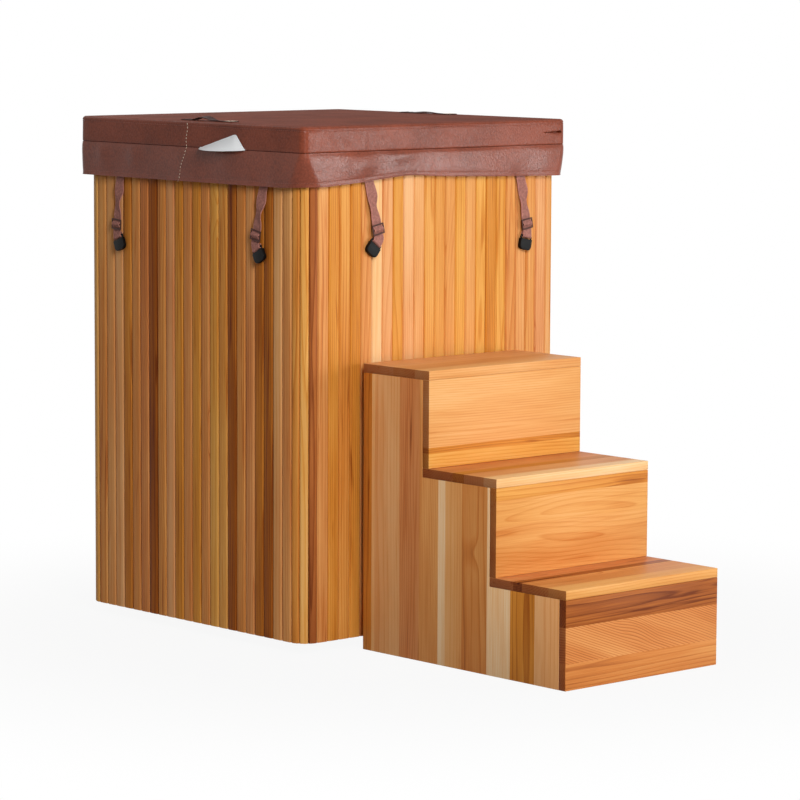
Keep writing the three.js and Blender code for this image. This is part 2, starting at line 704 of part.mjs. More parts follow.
// A strap's own places: its hinge on the hem, its slider and the bar of its clip, each with the way
// down the webbing and the way across it
function strapPlaces({ along, lean, clipLean }, side) {
  const edges = [along - WEB_WIDTH / 2, along + WEB_WIDTH / 2];
  const lowestHem = Math.min(...edges.map((edge) => hemAt(side, edge)));
  const hinge = lowestHem - FIT - WEB_THICKNESS / 2;
  const way = (degrees) => {
    const [sin, cos] = [Math.sin(radians(degrees)), Math.cos(radians(degrees))];
    return { down: point(sin, 0, -cos), across: point(cos, 0, sin) };
  };
  const upper = way(lean);
  const lower = way(clipLean);
  const halfTurn = radians(clipLean - lean) / 2;
  const turnRoom = (WEB_WIDTH / 2) * Math.abs(Math.tan(halfTurn)) + WEB_THICKNESS;
  const top = point(along, -sideOut(side) - strapStandoff, hinge);
  const slider = top.clone().addScaledVector(upper.down, STRAP_DROP);
  const turn = slider.clone().addScaledVector(upper.down, sliderHeight / 2 + turnRoom);
  const bar = turn.clone().addScaledVector(lower.down, Math.max(CLIP_REACH, turnRoom + WEB_THICKNESS));
  const middle = { across: way((lean + clipLean) / 2).across, stretch: 1 / Math.cos(halfTurn) };
  return { top, slider, turn, bar, upper, lower, middle, turnRoom };
}

// Webbing is tucked in behind the hem, goes behind the slider's outer bars and over its middle one,
// round the clip's bar and back
function strapWebbing({ top, slider, turn, bar, upper, lower, middle, turnRoom }) {
  const out = (place, distance) => place.clone().add(point(0, -distance, 0));
  const down = (start, way, distance, standoff) => ({
    place: out(start.clone().addScaledVector(way.down, distance), standoff), across: way.across,
  });
  const nearBar = SLIDER_BAR / 2 + FIT;
  const farBar = SLIDER_BAR / 2 + sliderSlot - FIT;
  const over = 2 * sliderStandoff;
  const stops = [
    down(top, upper, -STRAP_TUCK, 0),
    down(slider, upper, -farBar, 0),
    down(slider, upper, -nearBar, over),
    down(slider, upper, nearBar, over),
    down(slider, upper, farBar, 0),
    down(slider, upper, sliderHeight / 2, 0),
    { place: turn, ...middle },
  ];
  for (let step = 0; step <= LOOP_STEPS; step += 1) {
    const angle = (Math.PI * step) / LOOP_STEPS;
    stops.push(down(bar, lower, clipLoop * Math.sin(angle), clipLoop * Math.cos(angle)));
  }
  stops.push(down(turn, lower, turnRoom, -clipLoop));
  return band(stops, WEB_WIDTH, WEB_THICKNESS);
}

// A plate in the plane of the webbing, drawn with x across and y down, and laid at a place
function plate(shape, thickness, place, way, standoff) {
  const geometry = new THREE.ExtrudeGeometry(shape, {
    depth: thickness, bevelEnabled: false, curveSegments: CORNER_STEPS,
  });
  geometry.translate(0, 0, -thickness / 2 - standoff);
  const basis = new THREE.Matrix4().makeBasis(way.across, way.down, point(0, 1, 0));
  return geometry.applyMatrix4(basis.setPosition(place));
}

function rectangle(minX, maxX, minY, maxY) {
  const corners = [[minX, minY], [maxX, minY], [maxX, maxY], [minX, maxY]];
  return corners.map(([x, y]) => new THREE.Vector2(x, y));
}

function strapSlider({ slider, upper }) {
  const slotHalf = WEB_WIDTH / 2 + 2 * FIT;
  const half = slotHalf + SLIDER_RIM;
  const shape = new THREE.Shape(rectangle(-half, half, -sliderHeight / 2, sliderHeight / 2));
  const near = SLIDER_BAR / 2;
  const far = near + sliderSlot;
  shape.holes.push(new THREE.Path(rectangle(-slotHalf, slotHalf, -far, -near)));
  shape.holes.push(new THREE.Path(rectangle(-slotHalf, slotHalf, near, far)));
  return plate(shape, SLIDER_THICKNESS, slider, upper, sliderStandoff);
}

// Clip: a thin eye that the webbing loops through, and a thicker body with a rounded end
function strapClip({ bar, lower }) {
  const slotHalf = WEB_WIDTH / 2 + 2 * FIT;
  const half = CLIP_WIDTH / 2;
  const slotEnd = clipLoop + WEB_THICKNESS / 2 + CLIP_PLAY;
  const end = slotEnd + CLIP_BODY;
  const bodyOutline = (start) => {
    const shape = new THREE.Shape();
    shape.moveTo(-half, start);
    shape.lineTo(half, start);
    shape.absarc(half - CLIP_ROUND, end - CLIP_ROUND, CLIP_ROUND, 0, Math.PI / 2);
    shape.absarc(CLIP_ROUND - half, end - CLIP_ROUND, CLIP_ROUND, Math.PI / 2, Math.PI);
    return shape;
  };
  const eye = bodyOutline(-CLIP_BAR / 2);
  eye.holes.push(new THREE.Path(rectangle(-slotHalf, slotHalf, CLIP_BAR / 2, slotEnd)));
  const thin = plate(eye, CLIP_BAR, bar, lower, 0);
  const thick = plate(bodyOutline(slotEnd), CLIP_THICKNESS, bar, lower, 0);
  return join(thin, thick);
}

function straps() {
  return SIDES.map((name, side) => {
    const pieces = sideStraps(side).flatMap((strap) => {
      const places = strapPlaces(strap, side);
      const title = `${name}_${strap.end}`;
      return [
        node(`strap_${title}`, strapWebbing(places), WEBBING),
        node(`slider_${title}`, strapSlider(places), BLACK_PLASTIC),
        node(`clip_${title}`, strapClip(places), BLACK_PLASTIC),
      ];
    });
    return sideGroup(side, ...pieces);
  });
}

// Stair

const stairFront = (step) => stairBack - STEP_GOING * (STEP_COUNT - step);
const stairTop = (step) => STEP_RISE * (step + 1);

// Each tread lies on the sides and on its riser, and reaches back under the riser above it
function stairTreadsAndRisers() {
  const pieces = [];
  for (let step = 0; step < STEP_COUNT; step += 1) {
    const front = stairFront(step);
    const last = step === STEP_COUNT - 1;
    const back = last ? stairBack : stairFront(step + 1) + BOARD;
    const top = stairTop(step);
    const under = top - BOARD;
    const foot = step ? stairTop(step - 1) + FIT : 0;
    const tread = board(-stairHalf, stairHalf, front, back, under, top);
    const riser = board(-stairHalf, stairHalf, front, front + BOARD, foot, under - FIT);
    pieces.push(node(`stair_tread_${step + 1}`, tread, CEDAR_STAIR));
    pieces.push(node(`stair_riser_${step + 1}`, riser, CEDAR_STAIR));
  }
  return pieces;
}

function stairSides() {
  const profile = [[stairBack, 0]];
  for (let step = 0; step < STEP_COUNT; step += 1) {
    const face = stairFront(step) + BOARD + FIT;
    profile.push([face, step ? stairTop(step - 1) - BOARD - FIT : 0]);
    profile.push([face, stairTop(step) - BOARD - FIT]);
  }
  profile.push([stairBack, stairTop(STEP_COUNT - 1) - BOARD - FIT]);
  const shape = new THREE.Shape(profile.map(([y, z]) => new THREE.Vector2(y, z)));
  return [['left', -stairHalf], ['right', stairHalf - BOARD]].map(([name, x]) => {
    const geometry = new THREE.ExtrudeGeometry(shape, { depth: BOARD, bevelEnabled: false });
    const basis = new THREE.Matrix4().makeBasis(point(0, 1, 0), point(0, 0, 1), point(1, 0, 0));
    return node(`stair_side_${name}`, geometry.applyMatrix4(basis).translate(x, 0, 0), CEDAR_STAIR);
  });
}

function stairRail() {
  const half = stairHalf - BOARD - FIT;
  const rail = board(-half, half, stairBack - BOARD, stairBack, RAIL_LIFT, RAIL_LIFT + RAIL_HEIGHT);
  return node('stair_back_rail', rail, CEDAR_STAIR);
}

const tub = new THREE.Group();
tub.add(...runners(), baseDeck(), frameRing('lower', deckTop + FIT), frameRing('upper', upperRingBottom));
tub.add(...framePosts(), insulation(), vessel());
tub.add(...SIDES.map((_, side) => cladding(side)));
tub.add(drainFitting(), drainStrainer(), drainValve(), drainLever());

const lid = new THREE.Group();
lid.add(lidJacket(), lidFoam(), lidLiner(), lidSkirt());
lid.add(lidHandle('left', -1), lidHandle('right', 1), lidTag(), ...straps());

const stair = new THREE.Group();
stair.add(...stairSides(), ...stairTreadsAndRisers(), stairRail());

const plunge = new THREE.Group();
plunge.add(tub, lid, stair);

export default plunge;
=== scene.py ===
"""Dresses a cold plunge tub: a cedar cabinet, its padded vinyl lid with tie-down straps, and a cedar stair.

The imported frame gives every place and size. Each group of pieces is made by one operator, and main()
calls them in order. Metres, +Z up, with the stair on the -Y side.
"""

import json
import math
import random
from itertools import accumulate
from typing import NamedTuple

import bmesh
import bpy
from bpy.props import FloatProperty, FloatVectorProperty, IntProperty, PointerProperty
from mathutils import Matrix, Vector, noise


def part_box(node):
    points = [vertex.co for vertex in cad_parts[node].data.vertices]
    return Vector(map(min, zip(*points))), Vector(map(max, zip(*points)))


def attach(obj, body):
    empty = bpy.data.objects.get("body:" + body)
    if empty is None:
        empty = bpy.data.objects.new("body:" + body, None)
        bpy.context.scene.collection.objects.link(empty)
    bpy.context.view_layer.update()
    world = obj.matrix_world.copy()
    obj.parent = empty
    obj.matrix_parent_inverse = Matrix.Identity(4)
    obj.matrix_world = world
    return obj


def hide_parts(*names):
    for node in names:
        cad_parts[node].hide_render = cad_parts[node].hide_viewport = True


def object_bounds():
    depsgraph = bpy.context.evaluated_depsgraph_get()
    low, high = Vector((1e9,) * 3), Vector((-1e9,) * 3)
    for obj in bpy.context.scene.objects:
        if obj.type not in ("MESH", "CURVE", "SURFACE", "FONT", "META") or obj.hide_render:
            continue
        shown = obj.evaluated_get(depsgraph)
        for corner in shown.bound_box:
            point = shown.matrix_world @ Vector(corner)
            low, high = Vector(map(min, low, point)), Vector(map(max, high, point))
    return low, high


bl_info = {
    "name": "Cold Plunge Tub",
    "version": (1, 0, 0),
    "blender": (4, 5, 0),
    "location": "View3D > Sidebar > Plunge Tub",
    "description": "Dresses a cedar cold plunge tub with its padded lid, straps, drain and stair",
    "category": "Object",
}

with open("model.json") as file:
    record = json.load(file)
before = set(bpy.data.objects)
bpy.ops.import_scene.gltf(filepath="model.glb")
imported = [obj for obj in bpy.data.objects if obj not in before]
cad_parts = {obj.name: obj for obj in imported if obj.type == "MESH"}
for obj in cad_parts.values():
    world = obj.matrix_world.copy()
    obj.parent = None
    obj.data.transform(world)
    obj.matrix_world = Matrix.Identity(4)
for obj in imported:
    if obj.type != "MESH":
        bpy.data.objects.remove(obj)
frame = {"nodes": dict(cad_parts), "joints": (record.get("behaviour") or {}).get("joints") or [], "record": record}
CAD_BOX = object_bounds()

MM = 0.001
QUARTER = math.pi / 2
SIDES = ("front", "right", "back", "left")
BODIES = frame["record"]["behaviour"]["bodies"]
BODY_OF = {node: body for body, nodes in BODIES.items() for node in nodes}


class Cut(NamedTuple):
    """How a board of cedar was sawn, and how it looks for that."""

    tone: float  # from dark heart, 0, to pale sapwood, 1
    blush: float  # from golden, 0, to rose, 1
    wander: float  # how much the grain wanders
    away: float  # distance of the board from the pith, in metres
    streak: float  # how much it is streaked with dark heart
    rings: float = 1.0  # how clearly its growth rings show
    slant: float = 0.0  # slope of the grain along the board
    upright: bool = False  # whether the pith lies straight above the board


CUTS = {
    "heartwood": Cut(0.20, 0.25, 0.5, 0.050, 0.8),
    "chestnut": Cut(0.22, 0.00, 0.5, 0.070, 0.6),
    "brown": Cut(0.26, 0.50, 0.5, 0.070, 0.8),
    "amber": Cut(0.38, 0.00, 0.5, 0.080, 0.5),
    "red": Cut(0.46, 0.85, 0.4, 0.080, 0.2),
    "streaky": Cut(0.50, 0.30, 1.0, 0.035, 1.1),
    "orange": Cut(0.49, 0.05, 0.6, 0.070, 0.5),
    "flecked": Cut(0.54, 0.70, 0.8, 0.045, 0.7),
    "tan": Cut(0.55, 0.60, 0.5, 0.080, 0.4),
    "golden": Cut(0.60, 0.05, 0.6, 0.050, 0.45),
    "ribbed": Cut(0.44, 0.60, 0.4, 0.300, 0.0, rings=1.6, slant=0.36, upright=True),
    "figured": Cut(0.60, 0.30, 2.4, 0.030, 0.3, rings=0.7),
    "rose": Cut(0.66, 0.80, 0.4, 0.090, 0.2, rings=0.9),
    "honey": Cut(0.65, 0.55, 0.6, 0.055, 0.1, rings=0.8),
    "pale": Cut(0.86, 0.60, 0.6, 0.040, 0.3, rings=0.7),
}

# Cuts of the staves on each side, from its left end as the side is faced, and round the corner after
STAVE_CUTS = {
    "front": "flecked orange orange orange tan pale rose golden rose honey golden figured figured golden "
             "honey golden orange golden tan tan streaky rose rose golden orange",
    "right": "golden rose orange pale tan streaky golden orange rose golden pale orange streaky tan "
             "golden rose orange brown golden pale rose orange tan golden orange",
    "back": "tan orange golden brown rose pale streaky golden orange tan rose golden heartwood orange "
            "pale tan golden streaky rose orange golden tan orange rose golden",
    "left": "tan tan rose orange tan red chestnut streaky rose orange tan orange tan golden golden "
            "chestnut tan tan amber chestnut rose tan orange golden brown",
}

# Boards glued up for each panel of the stair: the axis that they are laid along, the axis of their grain,
# and the width in millimetres and the cut of each from the low end. The last board takes what is left.
STAIR_BOARDS = {
    "stair_side_left": ("Y", "Z", "70 rose, 71 amber, 69 pale, 75 tan, 50 honey, 22 pale, 58 tan, "
                                  "61 flecked, 78 rose, 9 pale, 26 orange"),
    "stair_side_right": ("Y", "Z", "60 tan, 72 golden, 64 rose, 70 streaky, 58 pale, 66 orange, 60 red, "
                                   "70 tan, 69 golden"),
    "stair_riser_1": ("Z", "X", "54 tan, 74 ribbed, 55 heartwood"),
    "stair_riser_2": ("Z", "X", "104 figured, 54 figured, 25 orange"),
    "stair_riser_3": ("Z", "X", "31 golden, 12 amber, 140 honey"),
    "stair_tread_1": ("Y", "X", "50 honey, 76 tan, 26 heartwood, 70 flecked"),
    "stair_tread_2": ("Y", "X", "38 pale, 58 tan, 34 amber, 92 tan"),
    "stair_tread_3": ("Y", "X", "44 honey, 66 rose, 93 rose"),
    "stair_back_rail": ("Z", "X", "80 tan"),
}

# What the cedar's finish reads from each board
BOARD_FACTS = {"tone": "FLOAT", "blush": "FLOAT", "figure": "FLOAT", "streak": "FLOAT", "rings": "FLOAT",
               "slant": "FLOAT", "seed": "FLOAT", "pith": "FLOAT_VECTOR"}

# Colours of cedar by its tone, with the darkest and the palest first
GOLDEN_TONES = ((0.0, "#6E3006"), (1.0, "#F6D29A"), (0.22, "#A05618"), (0.45, "#D08430"), (0.64, "#E2A24C"),
                (0.86, "#EEBC74"))
ROSE_TONES = ((0.0, "#6A3014"), (1.0, "#F4D2AA"), (0.22, "#A05A34"), (0.45, "#CC7A48"), (0.66, "#E09E68"),
              (0.86, "#ECB886"))
# Darkness of a growth ring from its early wood to its late wood
RING_SHADES = ((0.0, 0.10), (1.0, 0.15), (0.58, 0.16), (0.85, 0.65), (0.94, 1.0))

# Most of a noise texture lies between these values
NOISE_SPAN = (0.3, 0.7)

# Hang of each strap's webbing and of its clip, in degrees towards the right as its side is faced
STRAP_LEANS = {"front_a": (12, -38), "front_b": (9, -13), "flank_a": (-4, 21), "flank_b": (-11, 29)}


def linear(code):
    """An sRGB hex value such as #8A4A3C as linear red, green, blue and alpha."""
    shares = [int(code[place:place + 2], 16) / 255 for place in (1, 3, 5)]
    return (*[s / 12.92 if s <= 0.04045 else ((s + 0.055) / 1.055) ** 2.4 for s in shares], 1.0)


def tinted(colour, factor, lift=0.0):
    """A colour that is darker or lighter by a factor, and lifted evenly."""
    return (*[min(1.0, factor * share + lift) for share in colour[:3]], 1.0)


def add(tree, kind, inputs=(), stops=(), **settings):
    """Adds a node with its settings. Inputs come in order, or by name or number. Each is a value, a socket
    to link, or a node whose first output in use is linked. Stops fill a colour ramp."""
    node = tree.nodes.new(kind)
    for name, value in settings.items():
        setattr(node, name, value)
    for key, value in inputs.items() if isinstance(inputs, dict) else enumerate(inputs):
        if isinstance(value, bpy.types.Node):
            value = next(socket for socket in value.outputs if socket.enabled)
        if isinstance(value, bpy.types.NodeSocket):
            tree.links.new(value, node.inputs[key])
        else:
            node.inputs[key].default_value = value
    for count, (place, colour) in enumerate(stops):
        elements = node.color_ramp.elements
        element = elements[count] if count < 2 else elements.new(place)
        element.position, element.color = place, colour
    return node


# Settings


def length_setting(title, about, default):
    """A size that a user may change."""
    return FloatProperty(name=title, description=about, default=default, min=0.0, unit="LENGTH", precision=4)


def colour_setting(title, about, code):
    """A colour that a user may change."""
    return FloatVectorProperty(name=title, description=about, default=linear(code), size=4, min=0, max=1,
                               subtype="COLOR")


def power_setting(title, about, default):
    """The power of a lamp that a user may change."""
    return FloatProperty(name=title, description=about, default=default, min=0.0, subtype="POWER")


class CabinetSettings(bpy.types.PropertyGroup):
    """Cedar cabinet and vessel."""

    stave_width: length_setting("Stave Width", "Width of one stave and its joint", 30 * MM)
    stave_thickness: length_setting("Stave Thickness", "Thickness of a stave", 18 * MM)
    stave_joint: length_setting("Stave Joint", "Gap between two staves", 0.5 * MM)
    stave_ease: length_setting("Stave Ease", "Radius of a stave's long edges", 5.0 * MM)
    corner_radius: length_setting("Corner Radius", "Outside radius of the cabinet's corners", 40 * MM)
    corner_staves: IntProperty(name="Corner Staves", description="Staves round each corner", default=3,
                               min=1)
    seed: IntProperty(name="Seed", description="Chooses how each stave was sawn", default=7)
    vessel: colour_setting("Vessel", "Colour of the vessel", "#DDE3E3")


class LidSettings(bpy.types.PropertyGroup):
    """Padded lid."""

    vinyl: colour_setting("Vinyl", "Colour of the leather-grain vinyl", "#7E3B25")
    thread: colour_setting("Thread", "Colour of the matching sewing thread", "#8E5242")
    light_thread: colour_setting("Light Thread", "Colour of the closing seam and the bar tacks", "#E4D0B8")
    crown: length_setting("Crown", "Rise of the middle of the lid", 4 * MM)
    corner: length_setting("Corner", "Corner radius of the panel", 15 * MM)
    edge: length_setting("Edge", "Radius of the panel's top edge", 7 * MM)
    skin: length_setting("Skin", "Thickness of the vinyl", 2 * MM)
    stitch: length_setting("Stitch", "Length of one stitch", 4.2 * MM)
    stitch_pitch: length_setting("Stitch Pitch", "Distance from stitch to stitch", 6 * MM)
    thread_thickness: length_setting("Thread Thickness", "Thickness of a stitch", 0.8 * MM)


class StrapSettings(bpy.types.PropertyGroup):
    """Tie-down straps and handles."""

    webbing: colour_setting("Webbing", "Colour of the straps' webbing", "#9E695E")
    # The handles' colour is the webbing darkened with painted shade, which stands for the shaded underside of each
    # handle.
    handles: colour_setting("Handles", "Colour of the handles' webbing", "#3E211C")
    sliders: colour_setting("Sliders", "Colour of the sliders", "#4A2C26")
    clips: colour_setting("Clips", "Colour of the clips", "#070707")
    width: length_setting("Width", "Width of the webbing", 25 * MM)
    thickness: length_setting("Thickness", "Thickness of the webbing", 1.6 * MM)


class DrainSettings(bpy.types.PropertyGroup):
    """Drain at the back."""

    pipe: colour_setting("Pipe", "Colour of the through-wall fitting", "#B8BCBC")
    lever: colour_setting("Lever", "Colour of the lever's dipped coat", "#A5302A")
    hole: length_setting("Hole", "Radius of the hole for the pipe in the staves", 20.3 * MM)
    ease: length_setting("Ease", "Radius of the fittings' edges", 1.2 * MM)


class StairSettings(bpy.types.PropertyGroup):
    """Three-step stair."""

    ease: length_setting("Ease", "Radius of the boards' edges", 0.9 * MM)
    seed: IntProperty(name="Seed", description="Chooses how each board was sawn", default=11)


class StageSettings(bpy.types.PropertyGroup):
    """Camera, lamps and floor."""

    lens: FloatProperty(name="Lens", description="Focal length of the camera", default=161.81,
                        subtype="DISTANCE_CAMERA")
    key: power_setting("Key", "Power of the large soft lamp", 132.0)
    side: power_setting("Side", "Power of the upright lamp at the right", 72.0)
    fill: power_setting("Fill", "Power of the lamp behind the tub", 36.0)
    sky: FloatProperty(name="Sky", description="Strength of the light from overhead", default=0.4)
    floor: colour_setting("Floor", "Colour of the floor", "#B0AFAD")


class TubSettings(bpy.types.PropertyGroup):
    """All settings of the tub."""

    cabinet: PointerProperty(type=CabinetSettings)
    lid: PointerProperty(type=LidSettings)
    straps: PointerProperty(type=StrapSettings)
    drain: PointerProperty(type=DrainSettings)
    stair: PointerProperty(type=StairSettings)
    stage: PointerProperty(type=StageSettings)


# Pieces


def piece(name, mesh, body, material, replaced=()):
    """Puts a finished mesh in the scene as a piece that rides a body and stands for CAD nodes."""
    mesh.materials.clear()
    mesh.materials.append(material)
    made = bpy.data.objects.new(name, mesh)
    bpy.context.scene.collection.objects.link(made)
    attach(made, body)
    if replaced:
        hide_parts(*replaced)
    return made


def keep(node, material):
    """Leaves a CAD node showing, with its finish."""
    kept = frame["nodes"][node]
    kept.data.materials.clear()
    kept.data.materials.append(material)


def soften(mesh, angle=35):
    """Smooth shading that stays crisp at edges sharper than the angle, in degrees."""
    mesh.shade_smooth()
    mesh.set_sharp_from_angle(angle=math.radians(angle))


def closed_body(name, points, faces, smooth):
    """A mesh of a closed body with its faces turned outwards."""
    mesh = bpy.data.meshes.new(name)
    mesh.from_pydata([tuple(point) for point in points], [], faces)
    shell = bmesh.new()
    shell.from_mesh(mesh)
    bmesh.ops.recalc_face_normals(shell, faces=shell.faces)
    shell.to_mesh(mesh)
    shell.free()
    soften(mesh, smooth)
    return mesh


def skinned(name, rings, looped=False, uvs=None, smooth=60):
    """A skin over a row of rings of points. A ring of one point closes an end, and a looped skin joins its
    last ring to its first. uvs gives a place on the cloth for each point, in metres."""
    starts = [0, *accumulate(len(ring) for ring in rings)]
    faces = []
    for band in range(len(rings) if looped else len(rings) - 1):
        after = (band + 1) % len(rings)
        low, high = len(rings[band]), len(rings[after])
        for step in range(max(low, high)):
            face = [starts[band] + step % low, starts[band] + (step + 1) % low,
                    starts[after] + (step + 1) % high, starts[after] + step % high]
            faces.append(list(dict.fromkeys(face)))
    mesh = closed_body(name, [point for ring in rings for point in ring], faces, smooth)
    if uvs:
        flat = [uv for ring in uvs for uv in ring]
        layer = mesh.uv_layers.new(name="cloth")
        for loop in mesh.loops:
            layer.data[loop.index].uv = flat[loop.vertex_index]
    return mesh


def thick_sheet(name, grid, thickness, smooth=60):
    """A sheet of a given thickness on a grid of points."""
    rows, columns = len(grid), len(grid[0])
    points, faces = [], []
    for row in range(rows):
        for column in range(columns):
            ahead = grid[min(row + 1, rows - 1)][column] - grid[max(row - 1, 0)][column]
            aside = grid[row][min(column + 1, columns - 1)] - grid[row][max(column - 1, 0)]
            up = aside.cross(ahead).normalized() * (thickness / 2)
            points += [grid[row][column] + up, grid[row][column] - up]
    spot = [[2 * (row * columns + column) for column in range(columns)] for row in range(rows)]
    for near, far in zip(spot, spot[1:]):
        for column in range(columns - 1):
            quad = [near[column], near[column + 1], far[column + 1], far[column]]
            faces += [quad, [corner + 1 for corner in reversed(quad)]]
    rim = [*spot[0], *[row[-1] for row in spot[1:]]]
    rim += [*reversed(spot[-1][:-1]), *[row[0] for row in reversed(spot[1:-1])]]
    for first, second in zip(rim, rim[1:] + rim[:1]):
        faces.append([first, first + 1, second + 1, second])
    return closed_body(name, points, faces, smooth)


def eased_copy(node, ease, segments=2, cuts=None, sharp=30, smooth=35):
    """A copy of a CAD node with its edges eased. cuts are an axis and places where its faces are parted."""
    shell = bmesh.new()
    shell.from_mesh(frame["nodes"][node].data)
    bmesh.ops.remove_doubles(shell, verts=shell.verts, dist=0.01 * MM)
    bmesh.ops.dissolve_limit(shell, angle_limit=math.radians(1), verts=shell.verts, edges=shell.edges)
    sharp_edges = [edge for edge in shell.edges if edge.calc_face_angle(0) > math.radians(sharp)]
    bmesh.ops.bevel(shell, geom=sharp_edges, offset=ease, segments=segments, profile=0.5, affect="EDGES",
                    clamp_overlap=True)
    if cuts:
        axis, places = cuts
        normal = Vector([float(letter == axis) for letter in "XYZ"])
        for place in places:
            whole = [*shell.verts, *shell.edges, *shell.faces]
            bmesh.ops.bisect_plane(shell, geom=whole, plane_co=normal * place, plane_no=normal, dist=1e-6)
    mesh = bpy.data.meshes.new(node)
    shell.to_mesh(mesh)
    shell.free()
    soften(mesh, smooth)
    return mesh


def new_tree(name, inputs):
    """A geometry tree with named inputs, and the sockets that give them."""
    tree = bpy.data.node_groups.new(name, "GeometryNodeTree")
    for title, kind in {"Geometry": "Geometry", **inputs}.items():
        tree.interface.new_socket(title, in_out="INPUT", socket_type="NodeSocket" + kind)
    tree.interface.new_socket("Geometry", in_out="OUTPUT", socket_type="NodeSocketGeometry")
    return tree, add(tree, "NodeGroupInput").outputs


def grow(name, base, tree, sizes):
    """Runs a geometry tree on a base mesh and gives the result as a plain mesh."""
    holder = bpy.data.objects.new(name, base)
    bpy.context.scene.collection.objects.link(holder)
    modifier = holder.modifiers.new(name, "NODES")
    modifier.node_group = tree
    for socket in tree.interface.items_tree:
        if socket.in_out == "INPUT" and socket.name in sizes:
            modifier[socket.identifier] = sizes[socket.name]
    graph = bpy.context.evaluated_depsgraph_get()
    mesh = bpy.data.meshes.new_from_object(holder.evaluated_get(graph), preserve_all_data_layers=True,
                                           depsgraph=graph)
    holder.modifiers.remove(modifier)
    bpy.data.objects.remove(holder)
    mesh.name = name
    if not mesh.polygons:
        raise RuntimeError(f"the tree {tree.name} made nothing for {name}")
    return mesh


def side_turn(side):
    """The turn that brings a piece drawn for the front to a side of the tub."""
    return Matrix.Rotation(side * QUARTER, 3, "Z")


# Finishes


def blank_material(name):
    """A material with an empty tree."""
    material = bpy.data.materials.new(name)
    material.use_nodes = True
    material.node_tree.nodes.clear()
    return material, material.node_tree


def finish(material, **sockets):
    """Ends a material in one Principled shader, whose own sockets take even values, or nodes to link."""
    inputs = {key.replace("_", " "): value for key, value in sockets.items()}
    shader = add(material.node_tree, "ShaderNodeBsdfPrincipled", inputs)
    add(material.node_tree, "ShaderNodeOutputMaterial", [shader])
    return material


